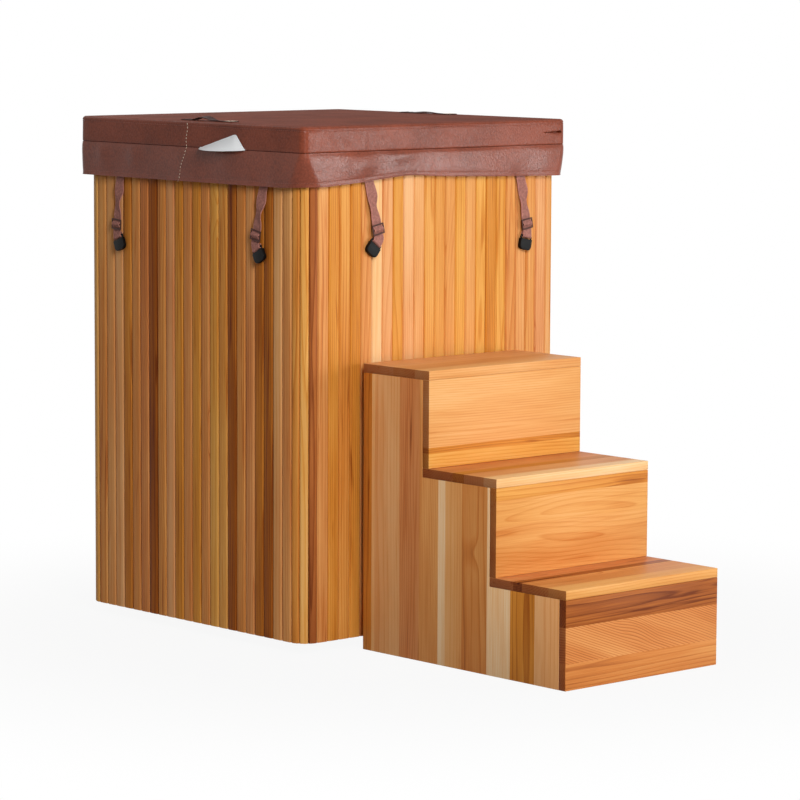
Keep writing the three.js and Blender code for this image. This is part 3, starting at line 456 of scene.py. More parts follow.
def cedar(name, grain):
    """Western red cedar, planed and oiled, with its grain along an axis. Growth rings are cut by each face
    as in a real board, so that flat-sawn faces show arches and ends show arcs, under a satin oil."""
    material, tree = blank_material(name)
    across, upward, along = {"Z": "XYZ", "X": "YZX"}[grain]
    # Ring spacing is about 5 mm, twice that of real cedar, so that it shows at the size of the photograph
    ring_width = 5.2 * MM
    # Room of a knot, its core, its rim and its reach as shares of that room, and how far it pushes the rings
    knot_room, knot_core, knot_rim, knot_reach, knot_push = 240 * MM, 0.016, 0.030, 0.20, 12 * MM
    # The rings wander over 167 mm across the board, and four times as far along it
    wander_room, wander_size = 1000 / 6 * MM, (30 * MM, 55 * MM, 0)
    wander_rate = (1 / wander_room, 1 / wander_room, 0.25 / wander_room)

    spot = add(tree, "ShaderNodeTexCoord")
    fact = {}
    for title, kind in BOARD_FACTS.items():
        read = add(tree, "ShaderNodeAttribute", attribute_name=title)
        fact[title] = read.outputs["Vector" if kind == "FLOAT_VECTOR" else "Fac"]
    from_pith = add(tree, "ShaderNodeVectorMath", [spot.outputs["Object"], fact["pith"]],
                    operation="SUBTRACT")
    split = add(tree, "ShaderNodeSeparateXYZ", [from_pith]).outputs
    sloped = add(tree, "ShaderNodeMath", [split[along], fact["slant"], split[upward]],
                 operation="MULTIPLY_ADD")
    length = add(tree, "ShaderNodeMath", [split[along], fact["seed"]], operation="ADD")
    board = add(tree, "ShaderNodeCombineXYZ", [split[across], sloped, length])

    # Knots stand far apart, and push the rings aside
    knot_place = add(tree, "ShaderNodeVectorMath", [board, (1, 1, 0.6)], operation="MULTIPLY")
    knot_cell = add(tree, "ShaderNodeTexVoronoi", {"Vector": knot_place, "Scale": 1 / knot_room})
    knot = add(tree, "ShaderNodeMapRange", [knot_cell, knot_rim, knot_core, 0.0, 1.0],
               interpolation_type="SMOOTHSTEP")
    push = add(tree, "ShaderNodeMapRange", [knot_cell, knot_reach, 0.0, 0.0, knot_push],
               interpolation_type="SMOOTHSTEP")

    # Rings wander along the board
    slow = add(tree, "ShaderNodeVectorMath", [board, wander_rate], operation="MULTIPLY")
    wander = add(tree, "ShaderNodeTexNoise", {"Vector": slow, "Scale": 1.0, "Detail": 1.2, "Roughness": 0.5})
    centred = add(tree, "ShaderNodeVectorMath", [wander.outputs["Color"], (0.5, 0.5, 0.5)],
                  operation="SUBTRACT")
    swing = add(tree, "ShaderNodeVectorMath", {0: centred, "Scale": fact["figure"]}, operation="SCALE")
    sway = add(tree, "ShaderNodeVectorMath", [swing, wander_size], operation="MULTIPLY")
    section = add(tree, "ShaderNodeVectorMath", [board, (1, 1, 0), sway], operation="MULTIPLY_ADD")
    radius = add(tree, "ShaderNodeVectorMath", [section], operation="LENGTH")
    pushed = add(tree, "ShaderNodeMath", [radius, push], operation="ADD")
    rings = add(tree, "ShaderNodeMath", [pushed, 1 / ring_width], operation="MULTIPLY")
    phase = add(tree, "ShaderNodeMath", [rings], operation="FRACT")
    latewood = add(tree, "ShaderNodeValToRGB", [phase],
                   [(place, (shade, shade, shade, 1)) for place, shade in RING_SHADES])

    # Drift of tone, dark heart in streaks and flames, and fibres: the width of each, how slowly it changes
    # along the board, and its noise
    drawn = {}
    for title, width, slowness, settings in (
            ("drift", 120 * MM, 0.14, {"Scale": 1.7, "Detail": 2.0}),
            ("streak", 9 * MM, 0.02, {"Scale": 1.0, "Detail": 3.0, "Roughness": 0.6, "Distortion": 0.3}),
            ("flame", 15 * MM, 15 / 260, {"Scale": 1.0, "Detail": 1.5, "Distortion": 0.5}),
            ("fibre", 2.2 * MM, 0.02, {"Scale": 1.0, "Detail": 4.0, "Roughness": 0.65})):
        stretched = add(tree, "ShaderNodeVectorMath", [board, (1 / width, 1 / width, slowness / width)],
                        operation="MULTIPLY")
        drawn[title] = add(tree, "ShaderNodeTexNoise", {"Vector": stretched, **settings})
    streaks = add(tree, "ShaderNodeMapRange", [drawn["streak"], 0.54, 0.74, 0.0, 0.26],
                  interpolation_type="SMOOTHSTEP")
    flames = add(tree, "ShaderNodeMapRange", [drawn["flame"], 0.62, 0.76, 0.0, 0.40],
                 interpolation_type="SMOOTHSTEP")

    # Tone of the wood at each spot
    with_drift = add(tree, "ShaderNodeMath", [drawn["drift"], 0.46, fact["tone"]], operation="MULTIPLY_ADD")
    with_fibre = add(tree, "ShaderNodeMath", [drawn["fibre"], 0.30, with_drift], operation="MULTIPLY_ADD")
    # Pale sapwood has fainter rings than dark heart
    ring_tone = add(tree, "ShaderNodeMapRange", [fact["tone"], 0.0, 0.9, -0.25, -0.16])
    ring_depth = add(tree, "ShaderNodeMath", [ring_tone, fact["rings"]], operation="MULTIPLY")
    with_rings = add(tree, "ShaderNodeMath", [latewood, ring_depth, with_fibre], operation="MULTIPLY_ADD")
    heart = add(tree, "ShaderNodeMath", [streaks, flames], operation="ADD")
    heart_share = add(tree, "ShaderNodeMath", [heart, fact["streak"], 0.33], operation="MULTIPLY_ADD")
    wood_tone = add(tree, "ShaderNodeMath", [with_rings, heart_share], operation="SUBTRACT")
    golden, rose = [
        add(tree, "ShaderNodeValToRGB", [wood_tone], [(place, linear(code)) for place, code in tones])
        for tones in (GOLDEN_TONES, ROSE_TONES)]
    wood = add(tree, "ShaderNodeMix", {0: fact["blush"], 6: golden, 7: rose}, data_type="RGBA")
    with_knots = add(tree, "ShaderNodeMix", {0: knot, 6: wood, 7: linear("#5A2C12")}, data_type="RGBA")

    # End grain drinks oil and goes dark
    facing = add(tree, "ShaderNodeSeparateXYZ", [spot.outputs["Normal"]])
    end_share = add(tree, "ShaderNodeMath", [facing.outputs[along]], operation="ABSOLUTE")
    end_grain = add(tree, "ShaderNodeMapRange", [end_share, 0.6, 0.95, 0.0, 0.72])
    colour = add(tree, "ShaderNodeMix", {0: end_grain, 6: with_knots, 7: linear("#8A5030")},
                 data_type="RGBA", blend_type="MULTIPLY")
    roughness = add(tree, "ShaderNodeMapRange", [drawn["fibre"], *NOISE_SPAN, 0.40, 0.56])
    relief = add(tree, "ShaderNodeMath", [latewood, 0.5, drawn["fibre"]], operation="MULTIPLY_ADD")
    bump = add(tree, "ShaderNodeBump", {"Strength": 0.35, "Distance": 0.3 * MM, "Height": relief})
    return finish(material, Base_Color=colour, Roughness=roughness, Normal=bump, IOR=1.5,
                  Specular_IOR_Level=0.1)


def leather_vinyl(name, colour, rough, shine):
    """PVC-coated cloth embossed with a leather grain: soft pebbles, a low sheen, and broad soft changes of
    tone where the skin is pulled or slack. rough is its span of roughness, and shine its specular level."""
    material, tree = blank_material(name)
    # Pebbles of the emboss are about 1.5 mm; they are drawn at 4 mm to show
    pebble = 4.0 * MM
    crease = 14 * MM
    # Patches of pulled or slack skin are 111 mm across, nine to the metre
    patch = 1000 / 9 * MM
    weathered_roughness = 0.9
    spot = add(tree, "ShaderNodeTexCoord")
    place = spot.outputs["Object"]
    bend = add(tree, "ShaderNodeTexNoise", {"Vector": place, "Scale": 0.4 / pebble, "Detail": 2.0})
    bent = add(tree, "ShaderNodeVectorMath", [bend.outputs["Color"], (pebble, pebble, pebble), place],
               operation="MULTIPLY_ADD")
    cells = add(tree, "ShaderNodeTexVoronoi", {"Vector": bent, "Scale": 1 / pebble}, feature="SMOOTH_F1")
    creases = add(tree, "ShaderNodeTexNoise", {"Vector": place, "Scale": 1 / crease, "Detail": 4.0,
                                               "Roughness": 0.6})
    patches = add(tree, "ShaderNodeTexNoise", {"Vector": place, "Scale": 1 / patch, "Detail": 3.0})
    shade = add(tree, "ShaderNodeMath", [cells, -0.6, patches], operation="MULTIPLY_ADD")
    tint = add(tree, "ShaderNodeValToRGB", [shade],
               [(0.0, tinted(colour, 0.72)), (0.55, tinted(colour, 1.25, lift=0.006))])
    roughness = add(tree, "ShaderNodeMapRange", [creases, *NOISE_SPAN, *rough])
    # Weather dulls what faces the sky
    facing = add(tree, "ShaderNodeSeparateXYZ", [spot.outputs["Normal"]])
    dulled = add(tree, "ShaderNodeMapRange", [facing.outputs["Z"], 0.8, 0.98, roughness,
                                              weathered_roughness])
    height = add(tree, "ShaderNodeMath", [creases, 0.8, cells], operation="MULTIPLY_ADD")
    bump = add(tree, "ShaderNodeBump", {"Strength": 0.55, "Distance": 0.6 * MM, "Height": height})
    return finish(material, Base_Color=tint, Roughness=dulled, Normal=bump, IOR=1.5,
                  Specular_IOR_Level=shine)


def woven_webbing(name, colour):
    """Polypropylene webbing, woven in a chevron with tight selvages: dull, with painted light on the crowns of its
    yarns and painted shade in the hollows between them."""
    material, tree = blank_material(name)
    # Yarns are about 1.2 mm apart; they are drawn at 3 mm to show
    yarn = 3.0 * MM
    yarn_turn = 2 * math.pi / yarn
    selvage_from, selvage_to = 10 * MM, 12 * MM
    tuft = 6.25 * MM
    spot = add(tree, "ShaderNodeUVMap", uv_map="cloth")
    split = add(tree, "ShaderNodeSeparateXYZ", [spot]).outputs
    aside = add(tree, "ShaderNodeMath", [split["X"]], operation="ABSOLUTE")
    slant = add(tree, "ShaderNodeMath", [aside, split["Y"]], operation="ADD")
    turns = add(tree, "ShaderNodeMath", [slant, yarn_turn], operation="MULTIPLY")
    chevron = add(tree, "ShaderNodeMath", [turns], operation="SINE")
    warp_turns = add(tree, "ShaderNodeMath", [split["X"], yarn_turn], operation="MULTIPLY")
    warp = add(tree, "ShaderNodeMath", [warp_turns], operation="SINE")
    yarns = add(tree, "ShaderNodeMath", [warp, 0.4, chevron], operation="MULTIPLY_ADD")
    # Along the selvages the tint is drawn lighter.
    edge = add(tree, "ShaderNodeMapRange", [aside, selvage_from, selvage_to, 0.0, 0.35])
    fuzz = add(tree, "ShaderNodeTexNoise", {"Vector": spot, "Scale": 1 / tuft, "Detail": 3.0})
    # The tint follows the weave's relief: the yarns' crowns take painted light and the hollows between them
    # painted shade, over a random fuzz of tone.
    shade = add(tree, "ShaderNodeMath", [yarns, 0.20, fuzz], operation="MULTIPLY_ADD")
    lit = add(tree, "ShaderNodeMath", [shade, edge], operation="ADD")
    tint = add(tree, "ShaderNodeValToRGB", [lit],
               [(0.15, tinted(colour, 0.55)), (1.0, tinted(colour, 1.75)), (0.5, tinted(colour, 1.0))])
    bump = add(tree, "ShaderNodeBump", {"Strength": 0.6, "Distance": 0.4 * MM, "Height": yarns})
    return finish(material, Base_Color=tint, Normal=bump, Roughness=0.7, IOR=1.49, Specular_IOR_Level=0.25)


def mottled(name, colour, grit, spread, rough, depth, **sockets):
    """A finish with an even colour that varies a little: moulded plastic, cast brass, foam, thread or paper.
    grit is the size of its texture, spread how far its tone varies, rough its span of roughness and depth
    the height of its relief."""
    material, tree = blank_material(name)
    # Clouds of tone are 71 mm across, fourteen to the metre
    cloud_size = 1000 / 14 * MM
    spot = add(tree, "ShaderNodeTexCoord").outputs["Object"]
    grain = add(tree, "ShaderNodeTexNoise", {"Vector": spot, "Scale": 1 / grit, "Detail": 3.0})
    cloud = add(tree, "ShaderNodeTexNoise", {"Vector": spot, "Scale": 1 / cloud_size, "Detail": 4.0})
    both = add(tree, "ShaderNodeMath", [grain, cloud], operation="ADD")
    mean = add(tree, "ShaderNodeMath", [both, 0.5], operation="MULTIPLY")
    ends = tinted(colour, 1 - spread), tinted(colour, 1 + spread)
    tint = add(tree, "ShaderNodeValToRGB", [mean], list(zip(NOISE_SPAN, ends)))
    roughness = add(tree, "ShaderNodeMapRange", [cloud, *NOISE_SPAN, *rough])
    bump = add(tree, "ShaderNodeBump", {"Strength": 0.4, "Distance": depth, "Height": grain})
    return finish(material, Base_Color=tint, Roughness=roughness, Normal=bump, **sockets)


def sewing_thread(name, colour, spread=0.12):
    """Bonded polyester thread, twisted: even, with a slight gloss."""
    return mottled(name, colour, 0.8 * MM, spread, (0.4, 0.6), 0.1 * MM)


def moulded_acetal(name, colour, shine):
    """Acetal, which leaves the mould with a satin face and a fine sparked texture."""
    return mottled(name, colour, 1.0 * MM, 0.2, (0.42, 0.55), 0.1 * MM, IOR=1.48, Specular_IOR_Level=shine)


def bead_foam(name):
    """Expanded polystyrene, cut from a moulded block: white beads pressed into flat-sided cells."""
    material, tree = blank_material(name)
    bead = 5 * MM
    spot = add(tree, "ShaderNodeTexCoord").outputs["Object"]
    cells = add(tree, "ShaderNodeTexVoronoi", {"Vector": spot, "Scale": 1 / bead},
                feature="DISTANCE_TO_EDGE")
    tint = add(tree, "ShaderNodeValToRGB", [cells], [(0.0, linear("#C9C8C2")), (0.12, linear("#F0EFEA"))])
    bump = add(tree, "ShaderNodeBump", {"Strength": 0.5, "Distance": 0.5 * MM, "Height": cells})
    return finish(material, Base_Color=tint, Normal=bump, Roughness=0.85, IOR=1.45)


def sawn_softwood(name):
    """Planed fir for the frame, runners and deck: pale, with soft orange grain along Y and a dry surface."""
    material, tree = blank_material(name)
    ring_width = 7 * MM
    spot = add(tree, "ShaderNodeTexCoord").outputs["Object"]
    stretched = add(tree, "ShaderNodeVectorMath", [spot, (1, 0.04, 1)], operation="MULTIPLY")
    grain = add(tree, "ShaderNodeTexNoise", {"Vector": stretched, "Scale": 0.5 / ring_width, "Detail": 5.0,
                                             "Roughness": 0.6, "Distortion": 0.4})
    tint = add(tree, "ShaderNodeValToRGB", [grain], [
        (0.25, linear("#A87C46")), (0.75, linear("#D8B584")), (0.5, linear("#C49A62"))])
    roughness = add(tree, "ShaderNodeMapRange", [grain, *NOISE_SPAN, 0.62, 0.78])
    bump = add(tree, "ShaderNodeBump", {"Strength": 0.3, "Distance": 0.3 * MM, "Height": grain})
    return finish(material, Base_Color=tint, Roughness=roughness, Normal=bump, IOR=1.5)


# Cedar boards


def sawn(name, centre, grain, chance, straight=1.0):
    """How one board was sawn: the look of its cut, and the place of the pith that it grew round. A straight
    board comes from farther out, and its grain wanders less."""
    cut = CUTS[name]
    angle = QUARTER if cut.upright else chance.uniform(0, 2 * math.pi)
    away = cut.away * straight * chance.uniform(0.7, 1.4)
    aside, up = away * math.cos(angle), away * math.sin(angle)
    shift = {"Z": (aside, up, 0), "X": (0, aside, up)}[grain]
    return {
        "tone": cut.tone + chance.uniform(-0.06, 0.06),
        "blush": min(1.0, max(0.0, cut.blush + chance.uniform(-0.15, 0.15))),
        "figure": cut.wander / straight * chance.uniform(0.8, 1.25),
        "streak": cut.streak,
        "rings": cut.rings,
        "slant": cut.slant + chance.uniform(-0.015, 0.015),
        "seed": chance.uniform(1, 9),
        "pith": Vector(centre) + Vector(shift),
    }


def store(mesh, domain, name, values, kind="FLOAT"):
    """Keeps a number or a vector for each point or face of a mesh."""
    attribute = mesh.attributes.new(name, kind, domain)
    for spot, value in zip(attribute.data, values):
        setattr(spot, "vector" if kind == "FLOAT_VECTOR" else "value", value)


def store_boards(mesh, domain, boards):
    """Keeps how a board was sawn for each point or face of a mesh."""
    for name, kind in BOARD_FACTS.items():
        store(mesh, domain, name, [board[name] for board in boards], kind)


def stave_tree():
    """Staves of one side: an eased bar at each flat place, and a bent one at each corner place."""
    sizes = ("Stave Width", "Corner Width", "Joint", "Thickness", "Ease", "Corner Radius", "Bottom", "Top",
             "Drain Radius")
    tree, given = new_tree("Cedar staves", {**dict.fromkeys(sizes, "Float"), "Drain Place": "Vector",
                                            "Wood": "Material"})
    low = add(tree, "ShaderNodeCombineXYZ", {"Z": given["Bottom"]})
    high = add(tree, "ShaderNodeCombineXYZ", {"Z": given["Top"]})
    upright = add(tree, "GeometryNodeCurvePrimitiveLine", {"Start": low, "End": high})
    bars = []
    for width in ("Stave Width", "Corner Width"):
        bare = add(tree, "ShaderNodeMath", [given[width], given["Joint"]], operation="SUBTRACT")
        outline = add(tree, "GeometryNodeCurvePrimitiveQuadrilateral", {
            "Width": bare, "Height": given["Thickness"]})
        section = add(tree, "GeometryNodeFilletCurve", {
            "Curve": outline, "Radius": given["Ease"], "Count": 4, "Limit Radius": True}, mode="POLY")
        if width == "Corner Width":
            section = add(tree, "GeometryNodeSubdivideCurve", {"Curve": section, "Cuts": 3})
        bars.append(add(tree, "GeometryNodeCurveToMesh", {
            "Curve": upright, "Profile Curve": section, "Fill Caps": True}))
    flat_bar, straight = bars

    # A corner bar is bent round the middle of the corner
    place = add(tree, "ShaderNodeSeparateXYZ", [add(tree, "GeometryNodeInputPosition")]).outputs
    angle = add(tree, "ShaderNodeMath", [place["X"], given["Corner Radius"]], operation="DIVIDE")
    half = add(tree, "ShaderNodeMath", [given["Thickness"], 0.5], operation="MULTIPLY")
    depth = add(tree, "ShaderNodeMath", [place["Y"], half], operation="ADD")
    reach = add(tree, "ShaderNodeMath", [given["Corner Radius"], depth], operation="SUBTRACT")
    sine = add(tree, "ShaderNodeMath", [angle], operation="SINE")
    cosine = add(tree, "ShaderNodeMath", [angle], operation="COSINE")
    bent_x = add(tree, "ShaderNodeMath", [reach, sine], operation="MULTIPLY")
    outward = add(tree, "ShaderNodeMath", [reach, cosine], operation="MULTIPLY")
    bent_y = add(tree, "ShaderNodeMath", [outward, -1.0], operation="MULTIPLY")
    bent = add(tree, "ShaderNodeCombineXYZ", [bent_x, bent_y, place["Z"]])
    corner_bar = add(tree, "GeometryNodeSetPosition", {"Geometry": straight, "Position": bent})

    heading = add(tree, "GeometryNodeInputNamedAttribute", {"Name": "heading"}, data_type="FLOAT")
    euler = add(tree, "ShaderNodeCombineXYZ", {"Z": heading})
    turn = add(tree, "FunctionNodeEulerToRotation", [euler])
    corner = add(tree, "GeometryNodeInputNamedAttribute", {"Name": "corner"}, data_type="FLOAT")
    at_corner = add(tree, "FunctionNodeCompare", [corner, 0.5], operation="GREATER_THAN")
    on_flat = add(tree, "FunctionNodeBooleanMath", [at_corner], operation="NOT")
    joined = add(tree, "GeometryNodeJoinGeometry")
    for bar, chosen in ((flat_bar, on_flat), (corner_bar, at_corner)):
        placed = add(tree, "GeometryNodeInstanceOnPoints", {
            "Points": given["Geometry"], "Selection": chosen, "Instance": bar, "Rotation": turn})
        tree.links.new(placed.outputs[0], joined.inputs[0])
    boards = add(tree, "GeometryNodeRealizeInstances", {"Geometry": joined})
    for name, kind in BOARD_FACTS.items():
        fact = add(tree, "GeometryNodeInputNamedAttribute", {"Name": name}, data_type=kind)
        boards = add(tree, "GeometryNodeStoreNamedAttribute", {
            "Geometry": boards, "Name": name, "Value": fact}, data_type=kind, domain="FACE")
    drill = add(tree, "GeometryNodeMeshCylinder", {
        "Vertices": 32, "Radius": given["Drain Radius"], "Depth": 0.2})
    level = add(tree, "GeometryNodeTransform", {
        "Geometry": drill, "Translation": given["Drain Place"], "Rotation": (QUARTER, 0, 0)})
    drilled = add(tree, "GeometryNodeMeshBoolean", {"Mesh 1": boards, "Mesh 2": level},
                  operation="DIFFERENCE", solver="MANIFOLD")
    wooden = add(tree, "GeometryNodeSetMaterial", {"Geometry": drilled, "Material": given["Wood"]})
    add(tree, "NodeGroupOutput", [wooden])
    return tree


class PLUNGETUB_OT_cladding(bpy.types.Operator):
    """Makes the cedar staves of the cabinet's four sides"""

    bl_idname = "plunge_tub.cladding"
    bl_label = "Cedar Cladding"

    def execute(self, context):
        cabinet = context.scene.plunge_tub.cabinet
        wood = cedar("Western red cedar, planed staves", "Z")
        tree = stave_tree()
        chance = random.Random(cabinet.seed)
        pipe_low, pipe_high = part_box("drain_fitting")
        sweep = QUARTER / cabinet.corner_staves
        for side, title in enumerate(SIDES):
            low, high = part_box(f"cladding_{title}")
            out = max(abs(value) for value in (*low.xy, *high.xy))
            flat = out - cabinet.corner_radius
            count = round(2 * flat / cabinet.stave_width)
            pitch = 2 * flat / count
            # Place of each stave, its heading, and whether it stands at the corner
            places = [((step + 0.5) * pitch - flat, cabinet.stave_thickness / 2 - out, 0.0, 0.0)
                      for step in range(count)]
            places += [(flat, cabinet.corner_radius - out, (step + 0.5) * sweep, 1.0)
                       for step in range(cabinet.corner_staves)]
            turn = side_turn(side)
            points = [turn @ Vector((x, y, 0)) for x, y, _, _ in places]
            cuts = STAVE_CUTS[title].split()
            boards = [sawn(cuts[step % len(cuts)], point, "Z", chance, straight=1.5)
                      for step, point in enumerate(points)]
            base = bpy.data.meshes.new("stave places")
            base.from_pydata([tuple(point) for point in points], [], [])
            store(base, "POINT", "heading", [heading + side * QUARTER for _, _, heading, _ in places])
            store(base, "POINT", "corner", [corner for _, _, _, corner in places])
            store_boards(base, "POINT", boards)
            mesh = grow(f"staves_{title}", base, tree, {
                "Stave Width": pitch, "Corner Width": sweep * cabinet.corner_radius,
                "Joint": cabinet.stave_joint, "Thickness": cabinet.stave_thickness,
                "Ease": cabinet.stave_ease, "Corner Radius": cabinet.corner_radius,
                "Bottom": low.z, "Top": high.z, "Drain Radius": context.scene.plunge_tub.drain.hole,
                "Drain Place": (0, out, (pipe_low.z + pipe_high.z) / 2), "Wood": wood})
            soften(mesh)
            piece(f"staves_{title}", mesh, "cabinet", wood, [f"cladding_{title}"])
        return {"FINISHED"}


class PLUNGETUB_OT_stair(bpy.types.Operator):
    """Makes the stair's glued-up cedar panels"""

    bl_idname = "plunge_tub.stair"
    bl_label = "Cedar Stair"

    def execute(self, context):
        stair = context.scene.plunge_tub.stair
        wood = {"Z": cedar("Western red cedar, upright boards", "Z"),
                "X": cedar("Western red cedar, level boards", "X")}
        chance = random.Random(stair.seed)
        for node, (axis, grain, listed) in STAIR_BOARDS.items():
            low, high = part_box(node)
            letter = "XYZ".index(axis)
            boards = [board.split() for board in listed.split(", ")]
            widths = [int(width) * MM for width, _ in boards[:-1]]
            ends = [*accumulate(widths, initial=low[letter]), high[letter]]
            edges = ends[1:-1]
            mesh = eased_copy(node, stair.ease, cuts=(axis, edges))
            facts = []
            for (_, cut), start, stop in zip(boards, ends, ends[1:]):
                centre = (low + high) / 2
                centre[letter] = (start + stop) / 2
                facts.append(sawn(cut, centre, grain, chance))
            store_boards(mesh, "FACE", [facts[sum(polygon.center[letter] > edge for edge in edges)]
                                        for polygon in mesh.polygons])
            panel = node.replace("stair_", "stair_panel_")
            piece(panel, mesh, "stair", wood[grain], [node])
        return {"FINISHED"}


# Carcass and drain


class PLUNGETUB_OT_carcass(bpy.types.Operator):
    """Finishes the runners, deck, frame and insulation, and makes the vessel"""

    bl_idname = "plunge_tub.carcass"
    bl_label = "Frame and Vessel"

    TIMBERS = ("runner_left", "runner_centre", "runner_right", "base_deck", "frame_ring_lower",
               "frame_ring_upper", "frame_post_front_left", "frame_post_front_right",
               "frame_post_back_right", "frame_post_back_left")
    TIMBER_EASE, VESSEL_EASE = 1.2 * MM, 1.0 * MM

    def execute(self, context):
        cabinet = context.scene.plunge_tub.cabinet
        softwood = sawn_softwood("Fir, planed framing timber")
        # Closed-cell polyethylene foam gives a soft grey-white face with a fine open grain
        insulation = mottled("Polyethylene foam, cut sheet", linear("#DAD8D0"), 3 * MM, 0.06, (0.8, 0.9),
                             0.4 * MM)
        # Rotomoulded polyethylene is waxy, with a slight orange peel from the mould
        moulded = mottled("Polyethylene, rotomoulded", cabinet.vessel, 4 * MM, 0.03, (0.34, 0.46), 0.2 * MM,
                          IOR=1.51)
        for node in self.TIMBERS:
            timber = eased_copy(node, self.TIMBER_EASE)
            piece(f"timber_{node}", timber, BODY_OF[node], softwood, [node])
        keep("insulation_wrap", insulation)
        shell = eased_copy("vessel", self.VESSEL_EASE, sharp=40, smooth=50)
        piece("vessel_shell", shell, "cabinet", moulded, ["vessel"])
        return {"FINISHED"}


class PLUNGETUB_OT_drain(bpy.types.Operator):
    """Makes the drain's fitting, strainer, valve and lever"""

    bl_idname = "plunge_tub.drain"
    bl_label = "Drain"

    def execute(self, context):
        drain = context.scene.plunge_tub.drain
        # Moulded PVC is even and slightly glossy, with faint flow marks
        pipe = mottled("PVC, moulded pipe fitting", drain.pipe, 2 * MM, 0.05, (0.34, 0.44), 0.1 * MM,
                       IOR=1.53)
        # Cast and turned brass is warm and streaked, duller where it was handled
        brass = mottled("Brass, cast and turned", linear("#B4934C"), 1.5 * MM, 0.16, (0.24, 0.42), 0.15 * MM,
                        Metallic=1.0)
        # Vinyl dip pulls into a thick glossy skin
        dip = mottled("Vinyl dip on steel", drain.lever, 5 * MM, 0.10, (0.28, 0.40), 0.2 * MM, IOR=1.52)
        for title, slot, coat in (("fitting", "pipe_plastic", pipe), ("strainer", "pipe_plastic", pipe),
                                  ("valve", "valve_brass", brass), ("lever", "lever_paint", dip)):
            node = f"drain_{title}"
            mesh = eased_copy(node, drain.ease, segments=3)
            piece(f"drain_piece_{title}", mesh, BODY_OF[node], coat, [node])
        return {"FINISHED"}


# Lid


def stations(half, radii, shares, arc_steps):
    """Stations round a square of rounded corners, anticlockwise from the left end of the front. Each has its
    place, its outward direction, its side and its place along that side. radii are those of the corners at
    the right end of each side."""
    found = []
    for side in range(len(SIDES)):
        turn = side_turn(side)
        left, right = radii[side - 1], radii[side]
        for share in shares[side]:
            along = share * (half - (left if share < 0 else right))
            found.append((turn @ Vector((along, -half, 0)), turn @ Vector((0, -1, 0)), side, along))
        for step in range(arc_steps):
            angle = step / arc_steps * QUARTER
            along = half - right + right * math.sin(angle)
            deep = right - half - right * math.cos(angle)
            outward = Vector((math.sin(angle), -math.cos(angle), 0))
            found.append((turn @ Vector((along, deep, 0)), turn @ outward, side, along))
    return found


def even_shares(count):
    """Places along the flat of a side, from its left end, as shares of half of it."""
    return [2 * step / count - 1 for step in range(count)]


def swell(low, high, value):
    """0 below low, 1 above high, and smooth between."""
    share = min(1.0, max(0.0, (value - low) / (high - low)))
    return share * share * (3 - 2 * share)


def bell(middle, spread, value):
    """1 at the middle, and less and less on both sides of it."""
    return math.exp(-(((value - middle) / spread) ** 2))


def ripple(point, rate, height):
    """A soft random swelling of a given height, with so many waves to the metre."""
    return noise.noise(point * rate) * height


def between(near, entry, share):
    """A smooth value through four stops, a share of the way from the second to the third."""
    first, second, third, fourth = (stop[entry] for stop in near)
    slope_in, slope_out = (third - first) * 0.5, (fourth - second) * 0.5
    cube, square = share ** 3, share ** 2
    return (second * (2 * cube - 3 * square + 1) + slope_in * (cube - 2 * square + share)
            + third * (3 * square - 2 * cube) + slope_out * (cube - square))


def neighbours(stops, here):
    """The four stops round the stretch that starts at a stop, with the end ones repeated."""
    return [stops[min(max(here + offset, 0), len(stops) - 1)] for offset in (-1, 0, 1, 2)]


def stitch_tree():
    """Stitches along the edges of a mesh: a small rounded bar of thread at each step."""
    tree, given = new_tree("Stitches", {"Pitch": "Float", "Stitch": "Float", "Thread Thickness": "Float",
                                        "Wobble": "Float", "Seed": "Int", "Thread": "Material"})
    path = add(tree, "GeometryNodeMeshToCurve", {"Mesh": given["Geometry"]})
    steps = add(tree, "GeometryNodeCurveToPoints", {"Curve": path, "Length": given["Pitch"]}, mode="LENGTH")
    ball = add(tree, "GeometryNodeMeshUVSphere", {"Segments": 6, "Rings": 5, "Radius": 0.5})
    thick = given["Thread Thickness"]
    long = add(tree, "ShaderNodeCombineXYZ", [thick, thick, given["Stitch"]])
    bar = add(tree, "GeometryNodeTransform", {"Geometry": ball, "Scale": long})
    less = add(tree, "ShaderNodeMath", [given["Wobble"], -1.0], operation="MULTIPLY")
    lean = add(tree, "FunctionNodeRandomValue", {2: less, 3: given["Wobble"], "Seed": given["Seed"]},
               data_type="FLOAT")
    leaning = add(tree, "ShaderNodeCombineXYZ", {"X": lean, "Y": lean})
    tilt = add(tree, "FunctionNodeEulerToRotation", [leaning])
    leaned = add(tree, "FunctionNodeRotateRotation", [steps.outputs["Rotation"], tilt],
                 rotation_space="LOCAL")
    placed = add(tree, "GeometryNodeInstanceOnPoints", {
        "Points": steps, "Instance": bar, "Rotation": leaned})
    real = add(tree, "GeometryNodeRealizeInstances", {"Geometry": placed})
    smooth = add(tree, "GeometryNodeSetShadeSmooth", {"Geometry": real})
    threaded = add(tree, "GeometryNodeSetMaterial", {"Geometry": smooth, "Material": given["Thread"]})
    add(tree, "NodeGroupOutput", [threaded])
    return tree


def sew(name, paths, thread, lid, longer=1.0, wobble=0.06, thicker=1.0):
    """Rows of stitches along paths of points, as one piece. A path that ends where it starts is closed."""
    points, edges = [], []
    for path in paths:
        start = len(points)
        points += [tuple(point) for point in path]
        edges += [(start + step, start + step + 1) for step in range(len(path) - 1)]
    base = bpy.data.meshes.new("stitch path")
    base.from_pydata(points, edges, [])
    tree = bpy.data.node_groups.get("Stitches") or stitch_tree()
    mesh = grow(name, base, tree, {
        "Pitch": lid.stitch_pitch * longer, "Stitch": lid.stitch * longer,
        "Thread Thickness": lid.thread_thickness * thicker, "Wobble": wobble, "Seed": 3, "Thread": thread})
    return piece(name, mesh, "lid", thread)


